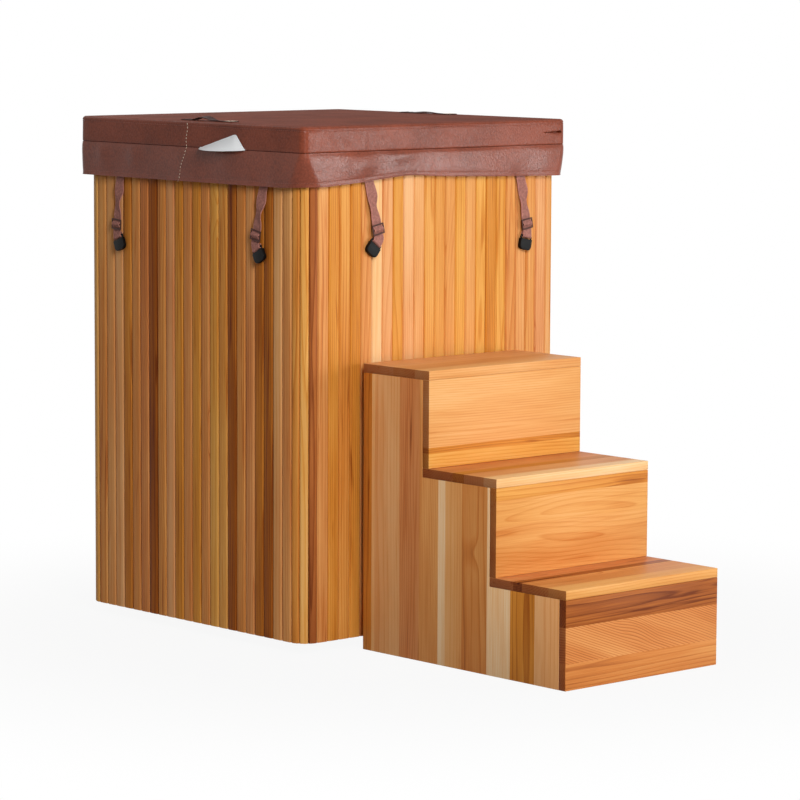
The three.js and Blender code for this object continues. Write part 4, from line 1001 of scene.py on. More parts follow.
class LidShape:
    """Where the lid's vinyl lies: its padded panel and its hanging skirt."""

    # The slit at the right end of the front, where the jacket is closed over the foam
    SLIT_FROM, SLIT_TO, SLIT_HEIGHT = 312 * MM, 366 * MM, 1079.5 * MM
    SLIT_OPEN, SLIT_DEPTH, SLIT_LIP = 3.2 * MM, 9 * MM, 1.2 * MM
    # Rings of the top, as shares of the way to its edge, steps along a side, and steps round its edge and
    # each corner
    TOP_RINGS = (0.12, 0.25, 0.4, 0.55, 0.7, 0.82, 0.9, 0.95)
    SIDE_STEPS, ROUND_STEPS = 36, 6
    # Distances in millimetres of the band's rings from the top: over the slit, from the slit, and under it.
    # The first is the seam that sews the top to the band.
    BAND_OVER = (8.2, 10.5, 13, 16, 20)
    BAND_SLIT = (-5, -3.8, -2.9, -2.1, -1.4, -0.7, 0, 0.7, 1.4, 2.1, 2.9, 3.8, 5, 7)
    BAND_UNDER = (39, 43, 47, 50, 52.5)
    # Where the skin turns in under the band: distance in and height over the seam, in millimetres
    TURNED_IN = ((0.4, 1.2), (1.4, 0.2))
    # Rings of the skirt, as shares of the way down it. They are close at the row of stitches and at the hem.
    SKIRT_RINGS = (0, 0.03, 0.07, 0.12, 0.2, 0.29, 0.38, 0.47, 0.56, 0.65, 0.74, 0.82, 0.855, 0.875, 0.9,
                   0.945, 0.965, 0.985, 1.0)
    HEM_STITCHES = 0.875
    SKIRT_SIDE_STEPS, SKIRT_ROUND_STEPS = 110, 12
    # How far the skirt stands from the panel everywhere, and how far its slack adds to that
    SKIRT_STAND, SKIRT_SLACK = 1.0 * MM, 0.42 * MM
    # Corner radii of the hem: front right, back right, back left and front left
    HEM_CORNERS = (34 * MM, 28 * MM, 20 * MM, 52 * MM)
    # Places along the front and lift of the hem there, in millimetres
    HEM_LIFTS = ((-330, 2.7), (-293, 4.7), (-216, 9.6), (-164, 14.2), (-120, 18.2), (-80, 20.0), (-20, 16.5),
                 (49, 13.5), (158, 10.0), (269, 7.3), (380, 5.0))
    # Stretches of the right and of the left side over which the lift at the front's ends eases out
    RIGHT_EASE, LEFT_EASE = (-345 * MM, -120 * MM), (300 * MM, 380 * MM)
    # Swells of the skirt: side, place along it, share of the way down, reach to the left and to the right,
    # spread up and down as a share, and height. Lengths are in millimetres.
    SWELLS = (
        (0, -222, 0.50, 42, 36, 0.45, 5.0), (0, -110, 0.20, 30, 50, 0.25, 2.5),
        (0, 90, 0.55, 90, 90, 0.60, 2.5), (0, 320, 0.50, 40, 40, 0.60, 2.0),
        (1, -230, 0.50, 40, 60, 0.50, 4.0), (1, -40, 0.40, 60, 40, 0.50, 2.5),
        (1, 190, 0.50, 50, 70, 0.50, 4.5),
        (2, -180, 0.50, 60, 40, 0.50, 4.5), (2, 60, 0.45, 50, 80, 0.50, 3.0),
        (2, 300, 0.50, 40, 40, 0.50, 4.0),
        (3, -300, 0.35, 18, 22, 0.30, 2.2), (3, -190, 0.35, 18, 30, 0.30, 2.2),
        (3, 0, 0.60, 60, 60, 0.50, 2.0), (3, 141, 0.50, 50, 70, 0.40, 3.0),
    )

    def __init__(self, lid):
        self.lid = lid
        low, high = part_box("lid_jacket")
        self.half = high.x
        self.seam = low.z
        self.top = high.z - lid.crown
        skirt_low, skirt_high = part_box("lid_skirt")
        self.skirt_top = skirt_high.z
        self.hem = skirt_low.z
        self.strap_places = {side: [] for side in range(len(SIDES))}
        for joint in frame["joints"]:
            if joint["child"].startswith("strap_"):
                side = SIDES.index(joint["child"].split("_")[1])
                local = side_turn(side).inverted() @ Vector(joint["pos_m"])
                self.strap_places[side].append(local.x)

    def panel_stations(self, half, corner):
        """Stations round the panel, which are close together at the slit."""
        slit_share, slit_step, slit_steps = 0.80, 0.006, 33
        shares = [even_shares(self.SIDE_STEPS) for _ in SIDES]
        shares[0] = [share for share in shares[0] if share < slit_share]
        shares[0] += [slit_share + slit_step * step for step in range(slit_steps)]
        return stations(half, [corner] * len(SIDES), shares, self.ROUND_STEPS)

    def panel_pull(self, point, side, along):
        """How far the band of the panel stands out or in at a point: soft waves, and the slit."""
        wave = ripple(point, 7, 1.1 * MM) + ripple(point, 26, 0.35 * MM)
        corner = swell(0.75, 1.0, abs(along) / self.half)
        wave += corner * noise.noise(Vector((point.x * 60, point.y * 60, point.z * 25))) * 0.5 * MM
        calm = swell(0, 9 * MM, point.z - self.seam) * swell(0, 6 * MM, self.top - point.z)
        out = wave * calm
        if side == 0 and self.SLIT_FROM < along < self.SLIT_TO:
            share = (along - self.SLIT_FROM) / (self.SLIT_TO - self.SLIT_FROM)
            open_share = share ** 0.8 * (1 - swell(0.9, 1.0, share))
            opening = self.SLIT_OPEN * open_share
            away = abs(point.z - self.SLIT_HEIGHT)
            inside = 1 - swell(0.55 * opening, opening + 0.4 * MM, away)
            out -= self.SLIT_DEPTH * swell(0.0, 0.12, share) * inside
            if point.z < self.SLIT_HEIGHT:
                out += self.SLIT_LIP * open_share * (1 - swell(opening, opening + 5 * MM, away))
        return out

    def panel_rings(self, inset):
        """The panel's skin from the middle of its top to its seam, set in by a thickness."""
        crown = self.lid.crown
        half, top = self.half - inset, self.top - inset
        edge = max(self.lid.edge - inset, 0.5 * MM)
        corner = max(self.lid.corner - inset, edge + 0.5 * MM)
        rings = [[Vector((0, 0, top + crown))]]
        for share in self.TOP_RINGS:
            rise = crown * (1 - share ** 2) ** 2
            ring = []
            for point, *_ in self.panel_stations(half * share, corner * share):
                dimple = ripple(point, 5, 0.8 * MM) * (1 - share) + ripple(point, 14, 0.4 * MM)
                ring.append(Vector((point.x, point.y, top + rise + dimple)))
            rings.append(ring)
        for step in range(self.ROUND_STEPS + 1):
            angle = QUARTER * step / self.ROUND_STEPS
            drawn, drop = edge * (1 - math.sin(angle)), edge * (1 - math.cos(angle))
            rings.append([point + Vector((0, 0, top - drop))
                          for point, *_ in self.panel_stations(half - drawn, corner - drawn)])
        slit_down = (self.top - self.SLIT_HEIGHT) / MM
        for down in (*self.BAND_OVER, *[slit_down + step for step in self.BAND_SLIT], *self.BAND_UNDER):
            # The seam just under the top's edge leaves a shallow groove
            groove = 0.7 * MM * bell(self.BAND_OVER[0], 1.6, down)
            ring = []
            for point, outward, side, along in self.panel_stations(half, corner):
                spot = Vector((point.x, point.y, self.top - down * MM))
                ring.append(spot + outward * (self.panel_pull(spot, side, along) - groove))
            rings.append(ring)
        for drawn, lift in self.TURNED_IN:
            rings.append([point + Vector((0, 0, self.seam + lift * MM))
                          for point, *_ in self.panel_stations(half - drawn * MM, corner - drawn * MM)])
        return rings

    def hem_at(self, side, along):
        """Height of the hem, which is drawn up along the front and eases down round its corners."""
        lifts = [(place * MM, lift * MM) for place, lift in self.HEM_LIFTS]
        if side == SIDES.index("right"):
            return self.hem + lifts[-1][1] * (1 - swell(*self.RIGHT_EASE, along))
        if side == SIDES.index("left"):
            return self.hem + lifts[0][1] * swell(*self.LEFT_EASE, along)
        if side == SIDES.index("back"):
            return self.hem
        here = max((step for step, (place, _) in enumerate(lifts[:-1]) if place <= along), default=0)
        near = neighbours(lifts, here)
        share = (along - near[1][0]) / (near[2][0] - near[1][0])
        return self.hem + between(near, 1, min(max(share, 0.0), 1.0))

    def skirt_out(self, side, along, share, point):
        """How far the skirt stands out from the panel's side, a share of the way down it."""
        slack = ripple(point, 9, 1.2 * MM) + self.SKIRT_SLACK
        out = self.SKIRT_STAND + slack * swell(0.02, 0.3, share)
        for place_side, place, level, left, right, spread, height in self.SWELLS:
            if place_side == side:
                across = along - place * MM
                reach = (left if across < 0 else right) * MM
                out += height * MM * bell(0, reach, across) * bell(level, spread, share)
        # The straps hold the skirt in at its hem
        from_strap = min(abs(along - place) for place in self.strap_places[side])
        held = (1 - swell(10 * MM, 40 * MM, from_strap)) * swell(0.4, 0.95, share)
        out *= swell(0.0, 0.10, share) * (1 - 0.75 * held)
        # Its stitches draw a groove, and the folded edge stands out under them
        out -= 0.5 * MM * bell(0.87, 0.02, share)
        out += 0.7 * MM * swell(0.955, 0.985, share)
        return max(out, 0.0)

    def skirt_row(self, share, inset):
        """One level of the skirt, whose corners round off towards the hem."""
        ease = share ** 1.3
        radii = [self.lid.corner * (1 - ease) + corner * ease for corner in self.HEM_CORNERS]
        row = []
        shares = [even_shares(self.SKIRT_SIDE_STEPS)] * len(SIDES)
        for point, outward, side, along in stations(self.half, radii, shares, self.SKIRT_ROUND_STEPS):
            z = self.skirt_top + (self.hem_at(side, along) - self.skirt_top) * share
            spot = Vector((point.x, point.y, z))
            row.append(spot + outward * (self.skirt_out(side, along, share, spot) - inset))
        return row


class PLUNGETUB_OT_lid(bpy.types.Operator):
    """Makes the lid's padded jacket, liner, skirt and seams"""

    bl_idname = "plunge_tub.lid"
    bl_label = "Padded Lid"

    # Gap between the foam and its jacket, ease of the liner's edges, and distance of the panel's stitches
    # under its top
    FOAM_GAP, LINER_EASE, TOP_SEAM = 0.3 * MM, 0.6 * MM, 9.6 * MM
    SEAM_SIDE_STEPS, SEAM_ROUND_STEPS = 60, 6
    # The closing seam, in millimetres: its start under the top, its length on the panel, its drift along the
    # side on the panel and then on the skirt, and how far it wavers on each
    CLOSING_FROM, CLOSING_LONG, PANEL_DRIFT, SKIRT_DRIFT = 6, 46, 4, 25
    PANEL_WAVER, SKIRT_WAVER, CLOSING_STEPS = 1.2, 1.5, 12

    def execute(self, context):
        lid = context.scene.plunge_tub.lid
        vinyl = leather_vinyl("PVC-coated cloth, leather grain", lid.vinyl, (0.28, 0.40), 0.16)
        # The skirt hangs free, so its grain is less rubbed and shines more
        skirt_vinyl = leather_vinyl("PVC-coated cloth, skirt", lid.vinyl, (0.28, 0.38), 0.28)
        thread = sewing_thread("Polyester thread, matching", lid.thread, spread=0.15)
        light_thread = sewing_thread("Polyester thread, undyed", lid.light_thread)
        foam = bead_foam("Polystyrene foam, moulded beads")
        shape = LidShape(lid)

        jacket_mesh = skinned("lid_panel", [*shape.panel_rings(0), *reversed(shape.panel_rings(lid.skin))])
        jacket = piece("lid_panel", jacket_mesh, "lid", vinyl, ["lid_jacket"])
        block = shape.panel_rings(lid.skin + self.FOAM_GAP)
        foam_mesh = skinned("lid_core", [*block, [Vector((0, 0, block[-1][0].z))]])
        piece("lid_core", foam_mesh, "lid", foam, ["lid_foam"])

        liner_mesh = eased_copy("lid_liner", self.LINER_EASE)
        liner = piece("lid_underside", liner_mesh, "lid", vinyl, ["lid_liner"])

        outer = [shape.skirt_row(share, 0.0) for share in shape.SKIRT_RINGS]
        inner = [shape.skirt_row(share, lid.skin) for share in reversed(shape.SKIRT_RINGS)]
        skirt_mesh = skinned("lid_curtain", [*outer, *inner], looped=True)
        skirt = piece("lid_curtain", skirt_mesh, "lid", skirt_vinyl, ["lid_skirt"])

        raised = lid.thread_thickness * 0.2
        shares = [even_shares(self.SEAM_SIDE_STEPS)] * len(SIDES)
        square = stations(shape.half, [lid.corner] * len(SIDES), shares, self.SEAM_ROUND_STEPS)
        top_row = [point + outward * raised + Vector((0, 0, shape.top - self.TOP_SEAM))
                   for point, outward, _, _ in square]
        hem_row = shape.skirt_row(shape.HEM_STITCHES, -raised)
        sew("stitches_panel", [top_row + top_row[:1]], thread, lid)
        sew("stitches_hem", [hem_row + hem_row[:1]], thread, lid)
        self.closing_seam(shape, lid, light_thread)
        return {"FINISHED"}

    def closing_seam(self, shape, lid, thread):
        """Light stitches down the left side, where the jacket and the skirt were closed."""
        side = SIDES.index("left")
        turn = side_turn(side)
        raised = lid.thread_thickness * 0.25
        panel, skirt = [], []
        for step in range(self.CLOSING_STEPS + 1):
            share = step / self.CLOSING_STEPS
            along = (self.PANEL_WAVER * math.sin(7 * share) - self.PANEL_DRIFT * share) * MM
            down = (self.CLOSING_FROM + self.CLOSING_LONG * share) * MM
            spot = turn @ Vector((along, -shape.half, shape.top - down))
            panel.append(spot + turn @ Vector((0, -shape.panel_pull(spot, side, along) - raised, 0)))
            drift = self.PANEL_DRIFT + self.SKIRT_DRIFT * share
            along = (self.SKIRT_WAVER * math.sin(9 * share) - drift) * MM
            level = 0.02 + 0.97 * share
            spot = turn @ Vector((along, -shape.half,
                                  shape.skirt_top + (shape.hem - shape.skirt_top) * level))
            out = shape.skirt_out(side, along, level, spot)
            skirt.append(spot + turn @ Vector((0, -out - raised, 0)))
        sew("stitches_closing", [panel, skirt], thread, lid, longer=1.15, wobble=0.22,
            thicker=1.4)


# Webbing


def ribbon(name, stops, width, thickness, steps=4):
    """A flat woven band along stops of a place, a direction across and a stretch, drawn as a smooth path.
    Gives its mesh and its length."""
    path = []
    for here in range(len(stops) - 1):
        near = neighbours(stops, here)
        path += [[between(near, entry, step / steps) for entry in range(3)] for step in range(steps)]
    path.append(list(stops[-1]))
    half, deep = width / 2, thickness / 2
    # Selvages are rounded, and the face swells a little between them
    edge, crest, full = half - 0.6 * deep, half * 0.35, deep * 1.04
    upper = [(-edge, deep), (-crest, full), (crest, full), (edge, deep)]
    section = [(-half, 0), *upper, (half, 0), *[(aside, -up) for aside, up in reversed(upper)]]
    rings, uvs, walked = [], [], 0.0
    for step, (place, across, stretch) in enumerate(path):
        before, after = path[max(step - 1, 0)][0], path[min(step + 1, len(path) - 1)][0]
        walked += (place - before).length
        face = (after - before).normalized().cross(across).normalized()
        rings.append([place + across * (aside * stretch) + face * up for aside, up in section])
        uvs.append([(aside, walked) for aside, _ in section])
    mesh = skinned(name, [[path[0][0]], *rings, [path[-1][0]]], uvs=[[(0, 0)], *uvs, [(0, walked)]],
                   smooth=50)
    return mesh, walked


class PLUNGETUB_OT_handles(bpy.types.Operator):
    """Makes the two webbing handles on top of the lid, with their bar tacks"""

    bl_idname = "plunge_tub.handles"
    bl_label = "Lid Handles"

    # Length of the sewn end, turn of the webbing over its slack, and steps along that
    PAD, TWIST, STEPS = 26 * MM, 0.10, 14
    # The slack webbing stands up towards the back on the left, and lies lower on the right: share of the
    # rise that it has, place of its crest and spread of it as shares of the half span
    SLACKS = {"left": (1.0, 0.3, 0.7), "right": (0.2, 0.0, 1.0)}
    # Rows of stitches from the front end and from the back end, in millimetres
    FRONT_TACKS, BACK_TACKS = range(3, 22, 2), (4, 7, 19, 22)
    # Slope of a row, and its height and reach as shares of the webbing's thickness and width
    TACK_SLOPE, TACK_LEVEL, TACK_REACH = 1.2 * MM, 0.55, 0.42

    def execute(self, context):
        lid, straps = context.scene.plunge_tub.lid, context.scene.plunge_tub.straps
        # The handles' webbing and their back bar tacks take the handles' colour, which is the webbing darkened
        # with painted shade.
        webbing = woven_webbing("Polypropylene webbing, handles", straps.handles)
        light = sewing_thread("Polyester thread, bar tacks", lid.light_thread)
        dark = sewing_thread("Polyester thread, handles", straps.handles)
        for name, (slack, crest, spread) in self.SLACKS.items():
            low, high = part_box(f"lid_handle_{name}")
            x = (low.x + high.x) / 2
            seat = low.z + straps.thickness / 2
            rise = (high.z - low.z - straps.thickness) * slack
            middle, half = (low.y + high.y) / 2, (high.y - low.y) / 2
            span = half - self.PAD
            level_across = Vector((1, 0, 0))
            stops = [(Vector((x, middle - half, seat)), level_across, 1.0)]
            for step in range(self.STEPS + 1):
                share = 2 * step / self.STEPS - 1
                lift = rise * (1 + math.cos(math.pi * max(-1.0, (share - crest) / spread))) / 2
                across = Vector((1, 0, self.TWIST * math.sin(math.pi * share))).normalized()
                stops.append((Vector((x, middle + span * share, seat + lift)), across, 1.0))
            stops.append((Vector((x, middle + half, seat)), level_across, 1.0))
            mesh, long = ribbon(f"handle_{name}", stops, straps.width, straps.thickness)
            handle = piece(f"handle_{name}", mesh, "lid", webbing, [f"lid_handle_{name}"])

            level = seat + straps.thickness * self.TACK_LEVEL
            reach = straps.width * self.TACK_REACH
            for end, title, thread, tacks in ((-1, "front", light, self.FRONT_TACKS),
                                              (1, "back", dark, self.BACK_TACKS)):
                rows = []
                for inward in tacks:
                    y = middle + end * (half - inward * MM)
                    rows.append([Vector((x - reach, y, level)),
                                 Vector((x + reach, y + self.TACK_SLOPE, level))])
                sew(f"bar_tacks_{name}_{title}", rows, thread, lid, longer=0.8)
        return {"FINISHED"}


class PLUNGETUB_OT_tag(bpy.types.Operator):
    """Makes the blank tag sewn into the lid's left seam"""

    bl_idname = "plunge_tub.tag"
    bl_label = "Blank Tag"

    # It leaves the seam, stands out in a soft fold, and its face leans back against the panel
    FOLD_OUT, FOLD_DROP = 22 * MM, 4 * MM
    PEAK, THICKNESS, LEAST_HEIGHT = 30 * MM, 0.5 * MM, 1.5 * MM
    COLUMNS, ROWS = 22, 8
    # The fold is fullest nearer its back end, and its face leans back in a hollow curve
    BOW_SKEW, BOW_FULLNESS, HOLLOW = 0.72, 0.8, 1.3
    SEWN_IN, SEWN_UP, CLEAR = 0.5 * MM, 0.8 * MM, 1.0 * MM
    # Share of the flat size that is sheet, because it narrows to a point
    SHEET_SHARE = 0.75

    def execute(self, context):
        # Spun-bonded sheet is white and matt, with faint cloudy fibres
        paper = mottled("Spun-bonded polyethylene sheet", linear("#F6F8F9"), 2 * MM, 0.02, (0.55, 0.7),
                        0.15 * MM)
        low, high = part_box("lid_tag")
        long, tall = high.y - low.y, high.z - low.z
        grid = [[] for _ in range(self.ROWS + 1)]
        for column in range(self.COLUMNS):
            along = long * column / (self.COLUMNS - 1)
            y = high.y - along
            reach = min(along / (long - self.PEAK), (long - along) / self.PEAK)
            bow = math.sin(math.pi * (along / long) ** self.BOW_SKEW) ** self.BOW_FULLNESS
            height = max(tall * reach, self.LEAST_HEIGHT)
            grid[0].append(Vector((high.x - self.SEWN_IN, y, low.z + self.SEWN_UP)))
            for row in range(self.ROWS):
                share = row / (self.ROWS - 1)
                out = self.CLEAR + self.FOLD_OUT * bow * (1 - share) ** self.HOLLOW
                z = low.z - self.FOLD_DROP * bow * (1 - share) + height * share
                grid[row + 1].append(Vector((high.x - out, y, z)))
        mesh = thick_sheet("seam_tag", grid, self.THICKNESS)
        tag = piece("seam_tag", mesh, "lid", paper, ["lid_tag"])
        return {"FINISHED"}


class PLUNGETUB_OT_straps(bpy.types.Operator):
    """Makes the eight tie-down straps with their sliders and clips"""

    bl_idname = "plunge_tub.straps"
    bl_label = "Tie-down Straps"

    # Clearance of the webbing, and ease of the mouldings' edges
    PLAY, SLIDER_EASE, CLIP_EASE = 0.3 * MM, 0.7 * MM, 1.3 * MM
    # The slider's height and half its thickness, and how far from its middle the webbing lies over the
    # middle bar and is back behind the frame
    SLIDER_HEIGHT, SLIDER_HALF, OVER_BAR, BEHIND_FRAME = 23 * MM, 1.2 * MM, 1.8 * MM, 8.2 * MM
    # Least distance from the bend to the clip's square bar, and the side of that bar
    CLIP_REACH, CLIP_BAR = 12 * MM, 3 * MM
    # The sewn end: its length behind the skirt, its overlap at the hinge, and how far in it leaves the skirt
    ROOT, TUCK, INSET = 26 * MM, 2 * MM, 3.2 * MM
    # The free length has the set of webbing that was kept folded: it waves and twists a little
    WAVE, TWIST, TURNS, TURN_BY_SIDE, HANG_STEPS = 1.8 * MM, 0.4, 1.15, 0.17, 9
    LOOP_STEPS = 6

    def execute(self, context):
        straps = context.scene.plunge_tub.straps
        webbing = woven_webbing("Polypropylene webbing, straps", straps.webbing)
        black = moulded_acetal("Acetal, moulded black", straps.clips, 0.15)
        brown = moulded_acetal("Acetal, moulded brown", straps.sliders, 0.2)
        for joint in frame["joints"]:
            body = joint["child"]
            if not body.startswith("strap_"):
                continue
            _, side_name, end = body.split("_")
            side = SIDES.index(side_name)
            turn = side_turn(side)
            lean, clip_lean = STRAP_LEANS[("flank_" if side % 2 else "front_") + end]
            title = f"{side_name}_{end}"
            mesh, long = ribbon(f"webbing_{title}", self.stops(side, joint, title, lean, clip_lean, straps),
                                straps.width, straps.thickness)
            for kind, ease, acetal in (("slider", self.SLIDER_EASE, brown), ("clip", self.CLIP_EASE, black)):
                fitting = eased_copy(f"{kind}_{title}", ease, segments=3)
                piece(f"{kind}_moulding_{title}", fitting, body, acetal,
                                      [f"{kind}_{title}"])
            strap = piece(f"webbing_{title}", mesh, body, webbing, [f"strap_{title}"])
            # The sewn end of the webbing stays behind the skirt, and leaves it inwards, clear of the hem
            down, across = (turn @ way for way in self.ways(lean))
            stops = [(Vector(joint["pos_m"]) - down * distance + turn @ Vector((0, inset, 0)), across, 1.0)
                     for distance, inset in ((self.ROOT, 0), (self.ROOT / 2, self.INSET / 2),
                                             (self.TUCK, self.INSET))]
            mesh, long = ribbon(f"webbing_root_{title}", stops, straps.width, straps.thickness)
            root = piece(f"webbing_root_{title}", mesh, "lid", webbing)
        return {"FINISHED"}

    def ways(self, degrees):
        """Down and across a strap of the front that hangs at an angle."""
        sine, cosine = math.sin(math.radians(degrees)), math.cos(math.radians(degrees))
        return Vector((sine, 0, -cosine)), Vector((cosine, 0, sine))

    def stops(self, side, joint, title, lean, clip_lean, straps):
        """The webbing's path: behind the hem, over the slider's bar, round the clip's bar and back."""
        turn = side_turn(side)
        low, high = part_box(f"slider_{title}")
        standoff = self.SLIDER_HALF + self.PLAY + straps.thickness / 2
        top = turn.inverted() @ Vector(joint["pos_m"])
        slider = turn.inverted() @ ((low + high) / 2) + Vector((0, standoff, 0))

        upper, upper_across = self.ways(lean)
        lower, lower_across = self.ways(clip_lean)
        middle_across = self.ways((lean + clip_lean) / 2)[1]
        half_turn = math.radians(clip_lean - lean) / 2
        room = straps.width / 2 * abs(math.tan(half_turn)) + straps.thickness
        bend = slider + upper * (self.SLIDER_HEIGHT / 2 + room)
        bar = bend + lower * max(self.CLIP_REACH, room + straps.thickness)
        # The webbing goes round the corners of the square bar in eighths of a turn
        loop = (self.CLIP_BAR * math.sqrt(0.5) + self.PLAY + straps.thickness / 2) / math.cos(math.pi / 8)

        def stop(start, down, across, distance, out):
            return turn @ (start + down * distance - Vector((0, out, 0))), turn @ across, 1.0

        found = [stop(top, upper, upper_across, -self.TUCK, -self.INSET)]
        hang = (slider - top).length - self.BEHIND_FRAME
        for step in range(1, self.HANG_STEPS):
            share = step / self.HANG_STEPS
            wave = math.sin(2 * math.pi * (self.TURNS * share + self.TURN_BY_SIDE * side))
            wave *= math.sin(math.pi * share) ** 2
            turned = (upper_across - Vector((0, self.TWIST * wave, 0))).normalized()
            found.append(stop(top, upper, turned, hang * share,
                              self.WAVE * wave - self.INSET * (1 - share) ** 3))
        for distance, out in ((-self.BEHIND_FRAME, 0), (-self.OVER_BAR, 2 * standoff),
                              (self.OVER_BAR, 2 * standoff), (self.BEHIND_FRAME, 0),
                              (self.SLIDER_HEIGHT / 2, 0)):
            found.append(stop(slider, upper, upper_across, distance, out))
        found.append((turn @ bend, turn @ middle_across, 1 / math.cos(half_turn)))
        for step in range(self.LOOP_STEPS + 1):
            angle = math.pi * step / self.LOOP_STEPS
            found.append(stop(bar, lower, lower_across, loop * math.sin(angle), loop * math.cos(angle)))
        found.append(stop(bend, lower, lower_across, room, -loop))
        return found


# Stage


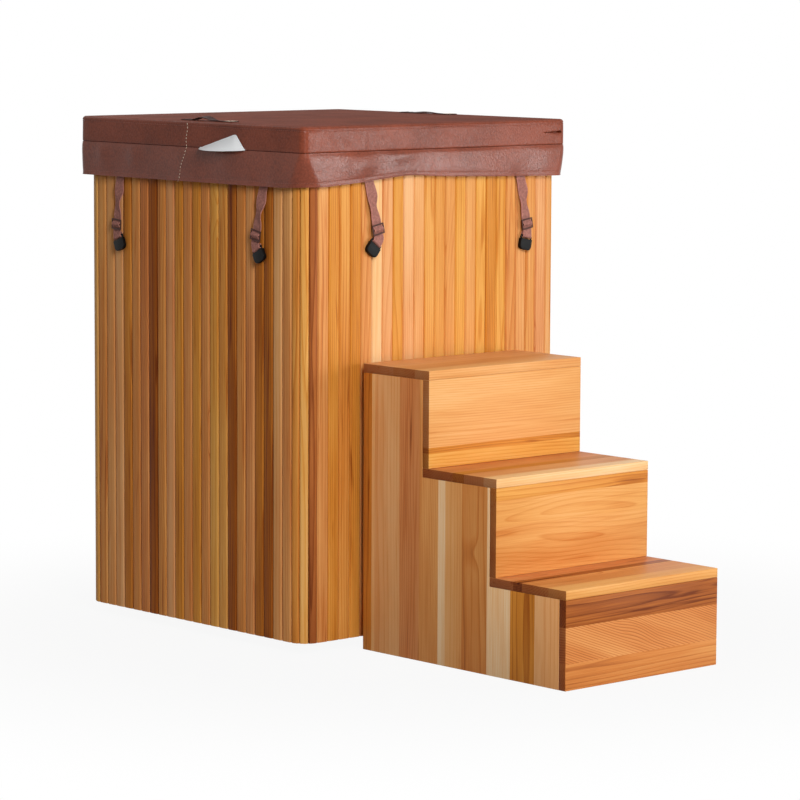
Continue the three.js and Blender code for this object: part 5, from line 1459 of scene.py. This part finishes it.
class PLUNGETUB_OT_stage(bpy.types.Operator):
    """Sets the camera, the soft lamps and the pale floor"""

    bl_idname = "plunge_tub.stage"
    bl_label = "Stage"

    PLACE = Vector((-5.2020, -6.0095, 1.40396))
    YAW, PITCH, ROLL = 0.735455, -0.115624, 0.004769
    TARGET = Vector((0, -0.2, 0.6))
    # Place, width and height of each lamp
    LAMPS = {"key": (Vector((-1.94, -3.85, 2.6)), 0.9, 2.0),
             "side": (Vector((2.32, -3.54, 0.9)), 1.2, 1.4),
             "fill": (Vector((1.6, 4.4, 2.2)), 2.0, 2.0)}
    WHITE = (1, 1, 1, 1)
    # Half width of the floor, and the distances from which and to which it runs out to white
    FLOOR_REACH, SHADOW_FROM, SHADOW_TO = 14.0, 0.6, 1.7

    def execute(self, context):
        scene = context.scene
        stage = scene.plunge_tub.stage
        scene.view_settings.view_transform = "Standard"
        lens = bpy.data.cameras.new("camera")
        lens.sensor_width, lens.lens = 36.0, stage.lens
        lens.clip_end = 60.0
        camera = bpy.data.objects.new("camera", lens)
        forward = Vector((math.sin(self.YAW) * math.cos(self.PITCH),
                          math.cos(self.YAW) * math.cos(self.PITCH), math.sin(self.PITCH)))
        level = Vector((math.cos(self.YAW), -math.sin(self.YAW), 0))
        upright = level.cross(forward)
        right = level * math.cos(self.ROLL) + upright * math.sin(self.ROLL)
        up = upright * math.cos(self.ROLL) - level * math.sin(self.ROLL)
        camera.matrix_world = Matrix((right, up, -forward)).transposed().to_4x4()
        camera.location = self.PLACE
        scene.collection.objects.link(camera)
        scene.camera = camera

        for name, (place, width, height) in self.LAMPS.items():
            self.lamp(scene, name, place, width, height, getattr(stage, name))
        self.world(scene, stage)
        self.floor(scene, stage)
        return {"FINISHED"}

    def lamp(self, scene, name, place, width, height, power):
        """A soft box, turned to the tub and hidden from the camera."""
        light = bpy.data.lights.new(name, "AREA")
        light.shape, light.size, light.size_y, light.energy = "RECTANGLE", width, height, power
        lamp = bpy.data.objects.new(name, light)
        lamp.location = place
        lamp.rotation_euler = (self.TARGET - place).to_track_quat("-Z", "Y").to_euler()
        lamp.visible_camera = False
        scene.collection.objects.link(lamp)

    def seen_white(self, tree):
        """1 for rays that should see a white ground: those of the camera, of gloss and through glass."""
        path = add(tree, "ShaderNodeLightPath").outputs
        first = add(tree, "ShaderNodeMath", [path["Is Camera Ray"], path["Is Glossy Ray"]],
                    operation="MAXIMUM")
        return add(tree, "ShaderNodeMath", [first, path["Is Transmission Ray"]], operation="MAXIMUM")

    def world(self, scene, stage):
        """Light that grows from the horizon to overhead, in a room that the camera sees as white."""
        world = bpy.data.worlds.new("studio")
        world.use_nodes = True
        tree = world.node_tree
        tree.nodes.clear()
        way = add(tree, "ShaderNodeSeparateXYZ", [add(tree, "ShaderNodeTexCoord").outputs["Generated"]])
        rise = add(tree, "ShaderNodeMapRange", [way.outputs["Z"], 0.0, 1.0, 0.1 * stage.sky, stage.sky])
        even = add(tree, "ShaderNodeBackground", {"Color": self.WHITE, "Strength": rise})
        white = add(tree, "ShaderNodeBackground", {"Color": self.WHITE, "Strength": 1.0})
        both = add(tree, "ShaderNodeMixShader", [self.seen_white(tree), even, white])
        add(tree, "ShaderNodeOutputWorld", {"Surface": both})
        scene.world = world

    def floor(self, scene, stage):
        """A pale floor that keeps a soft shadow and runs out to white."""
        reach = self.FLOOR_REACH
        mesh = bpy.data.meshes.new("floor")
        corners = [(-reach, -reach, 0), (reach, -reach, 0), (reach, reach, 0), (-reach, reach, 0)]
        mesh.from_pydata(corners, [], [(0, 1, 2, 3)])
        material, tree = blank_material("Painted floor, matt")
        spot = add(tree, "ShaderNodeTexCoord").outputs["Object"]
        away = add(tree, "ShaderNodeVectorMath", [spot, (0, 0.3, 0)], operation="ADD")
        radius = add(tree, "ShaderNodeVectorMath", [away], operation="LENGTH")
        share = add(tree, "ShaderNodeMapRange", [radius, self.SHADOW_FROM, self.SHADOW_TO, 0.92, 1.0],
                    interpolation_type="SMOOTHSTEP")
        seen = add(tree, "ShaderNodeMath", [share, self.seen_white(tree)], operation="MULTIPLY")
        paint = add(tree, "ShaderNodeBsdfDiffuse", {"Color": stage.floor})
        white = add(tree, "ShaderNodeEmission", {"Color": self.WHITE, "Strength": 1.0})
        both = add(tree, "ShaderNodeMixShader", [seen, paint, white])
        add(tree, "ShaderNodeOutputMaterial", {"Surface": both})
        mesh.materials.append(material)
        floor = bpy.data.objects.new("floor", mesh)
        floor.location.z = CAD_BOX[0].z - 0.2 * MM
        scene.collection.objects.link(floor)


class PLUNGETUB_PT_panel(bpy.types.Panel):
    """Lists the tub's pieces and settings"""

    bl_idname = "PLUNGETUB_PT_panel"
    bl_label = "Cold Plunge Tub"
    bl_space_type = "VIEW_3D"
    bl_region_type = "UI"
    bl_category = "Plunge Tub"

    def draw(self, context):
        settings = context.scene.plunge_tub
        for operator, group in OPERATORS:
            box = self.layout.box()
            box.operator(operator.bl_idname)
            for name in getattr(settings, group).__annotations__ if group else ():
                box.prop(getattr(settings, group), name)


# Operators in the order of their work, and the settings that the panel lists under each
OPERATORS = (
    (PLUNGETUB_OT_stage, "stage"),
    (PLUNGETUB_OT_carcass, ""),
    (PLUNGETUB_OT_cladding, "cabinet"),
    (PLUNGETUB_OT_drain, "drain"),
    (PLUNGETUB_OT_lid, "lid"),
    (PLUNGETUB_OT_handles, ""),
    (PLUNGETUB_OT_tag, ""),
    (PLUNGETUB_OT_straps, "straps"),
    (PLUNGETUB_OT_stair, "stair"),
)
CLASSES = (CabinetSettings, LidSettings, StrapSettings, DrainSettings, StairSettings, StageSettings,
           TubSettings, *[operator for operator, _ in OPERATORS], PLUNGETUB_PT_panel)


def register():
    """Registers the classes and gives the scene its settings."""
    for kind in CLASSES:
        bpy.utils.register_class(kind)
    bpy.types.Scene.plunge_tub = PointerProperty(type=TubSettings)


def unregister():
    """Takes the settings and the classes away again."""
    del bpy.types.Scene.plunge_tub
    for kind in reversed(CLASSES):
        bpy.utils.unregister_class(kind)


def main():
    """Makes every piece in order."""
    register()
    for operator, _ in OPERATORS:
        group, name = operator.bl_idname.split(".")
        getattr(getattr(bpy.ops, group), name)()


if __name__ == "__main__":
    main()
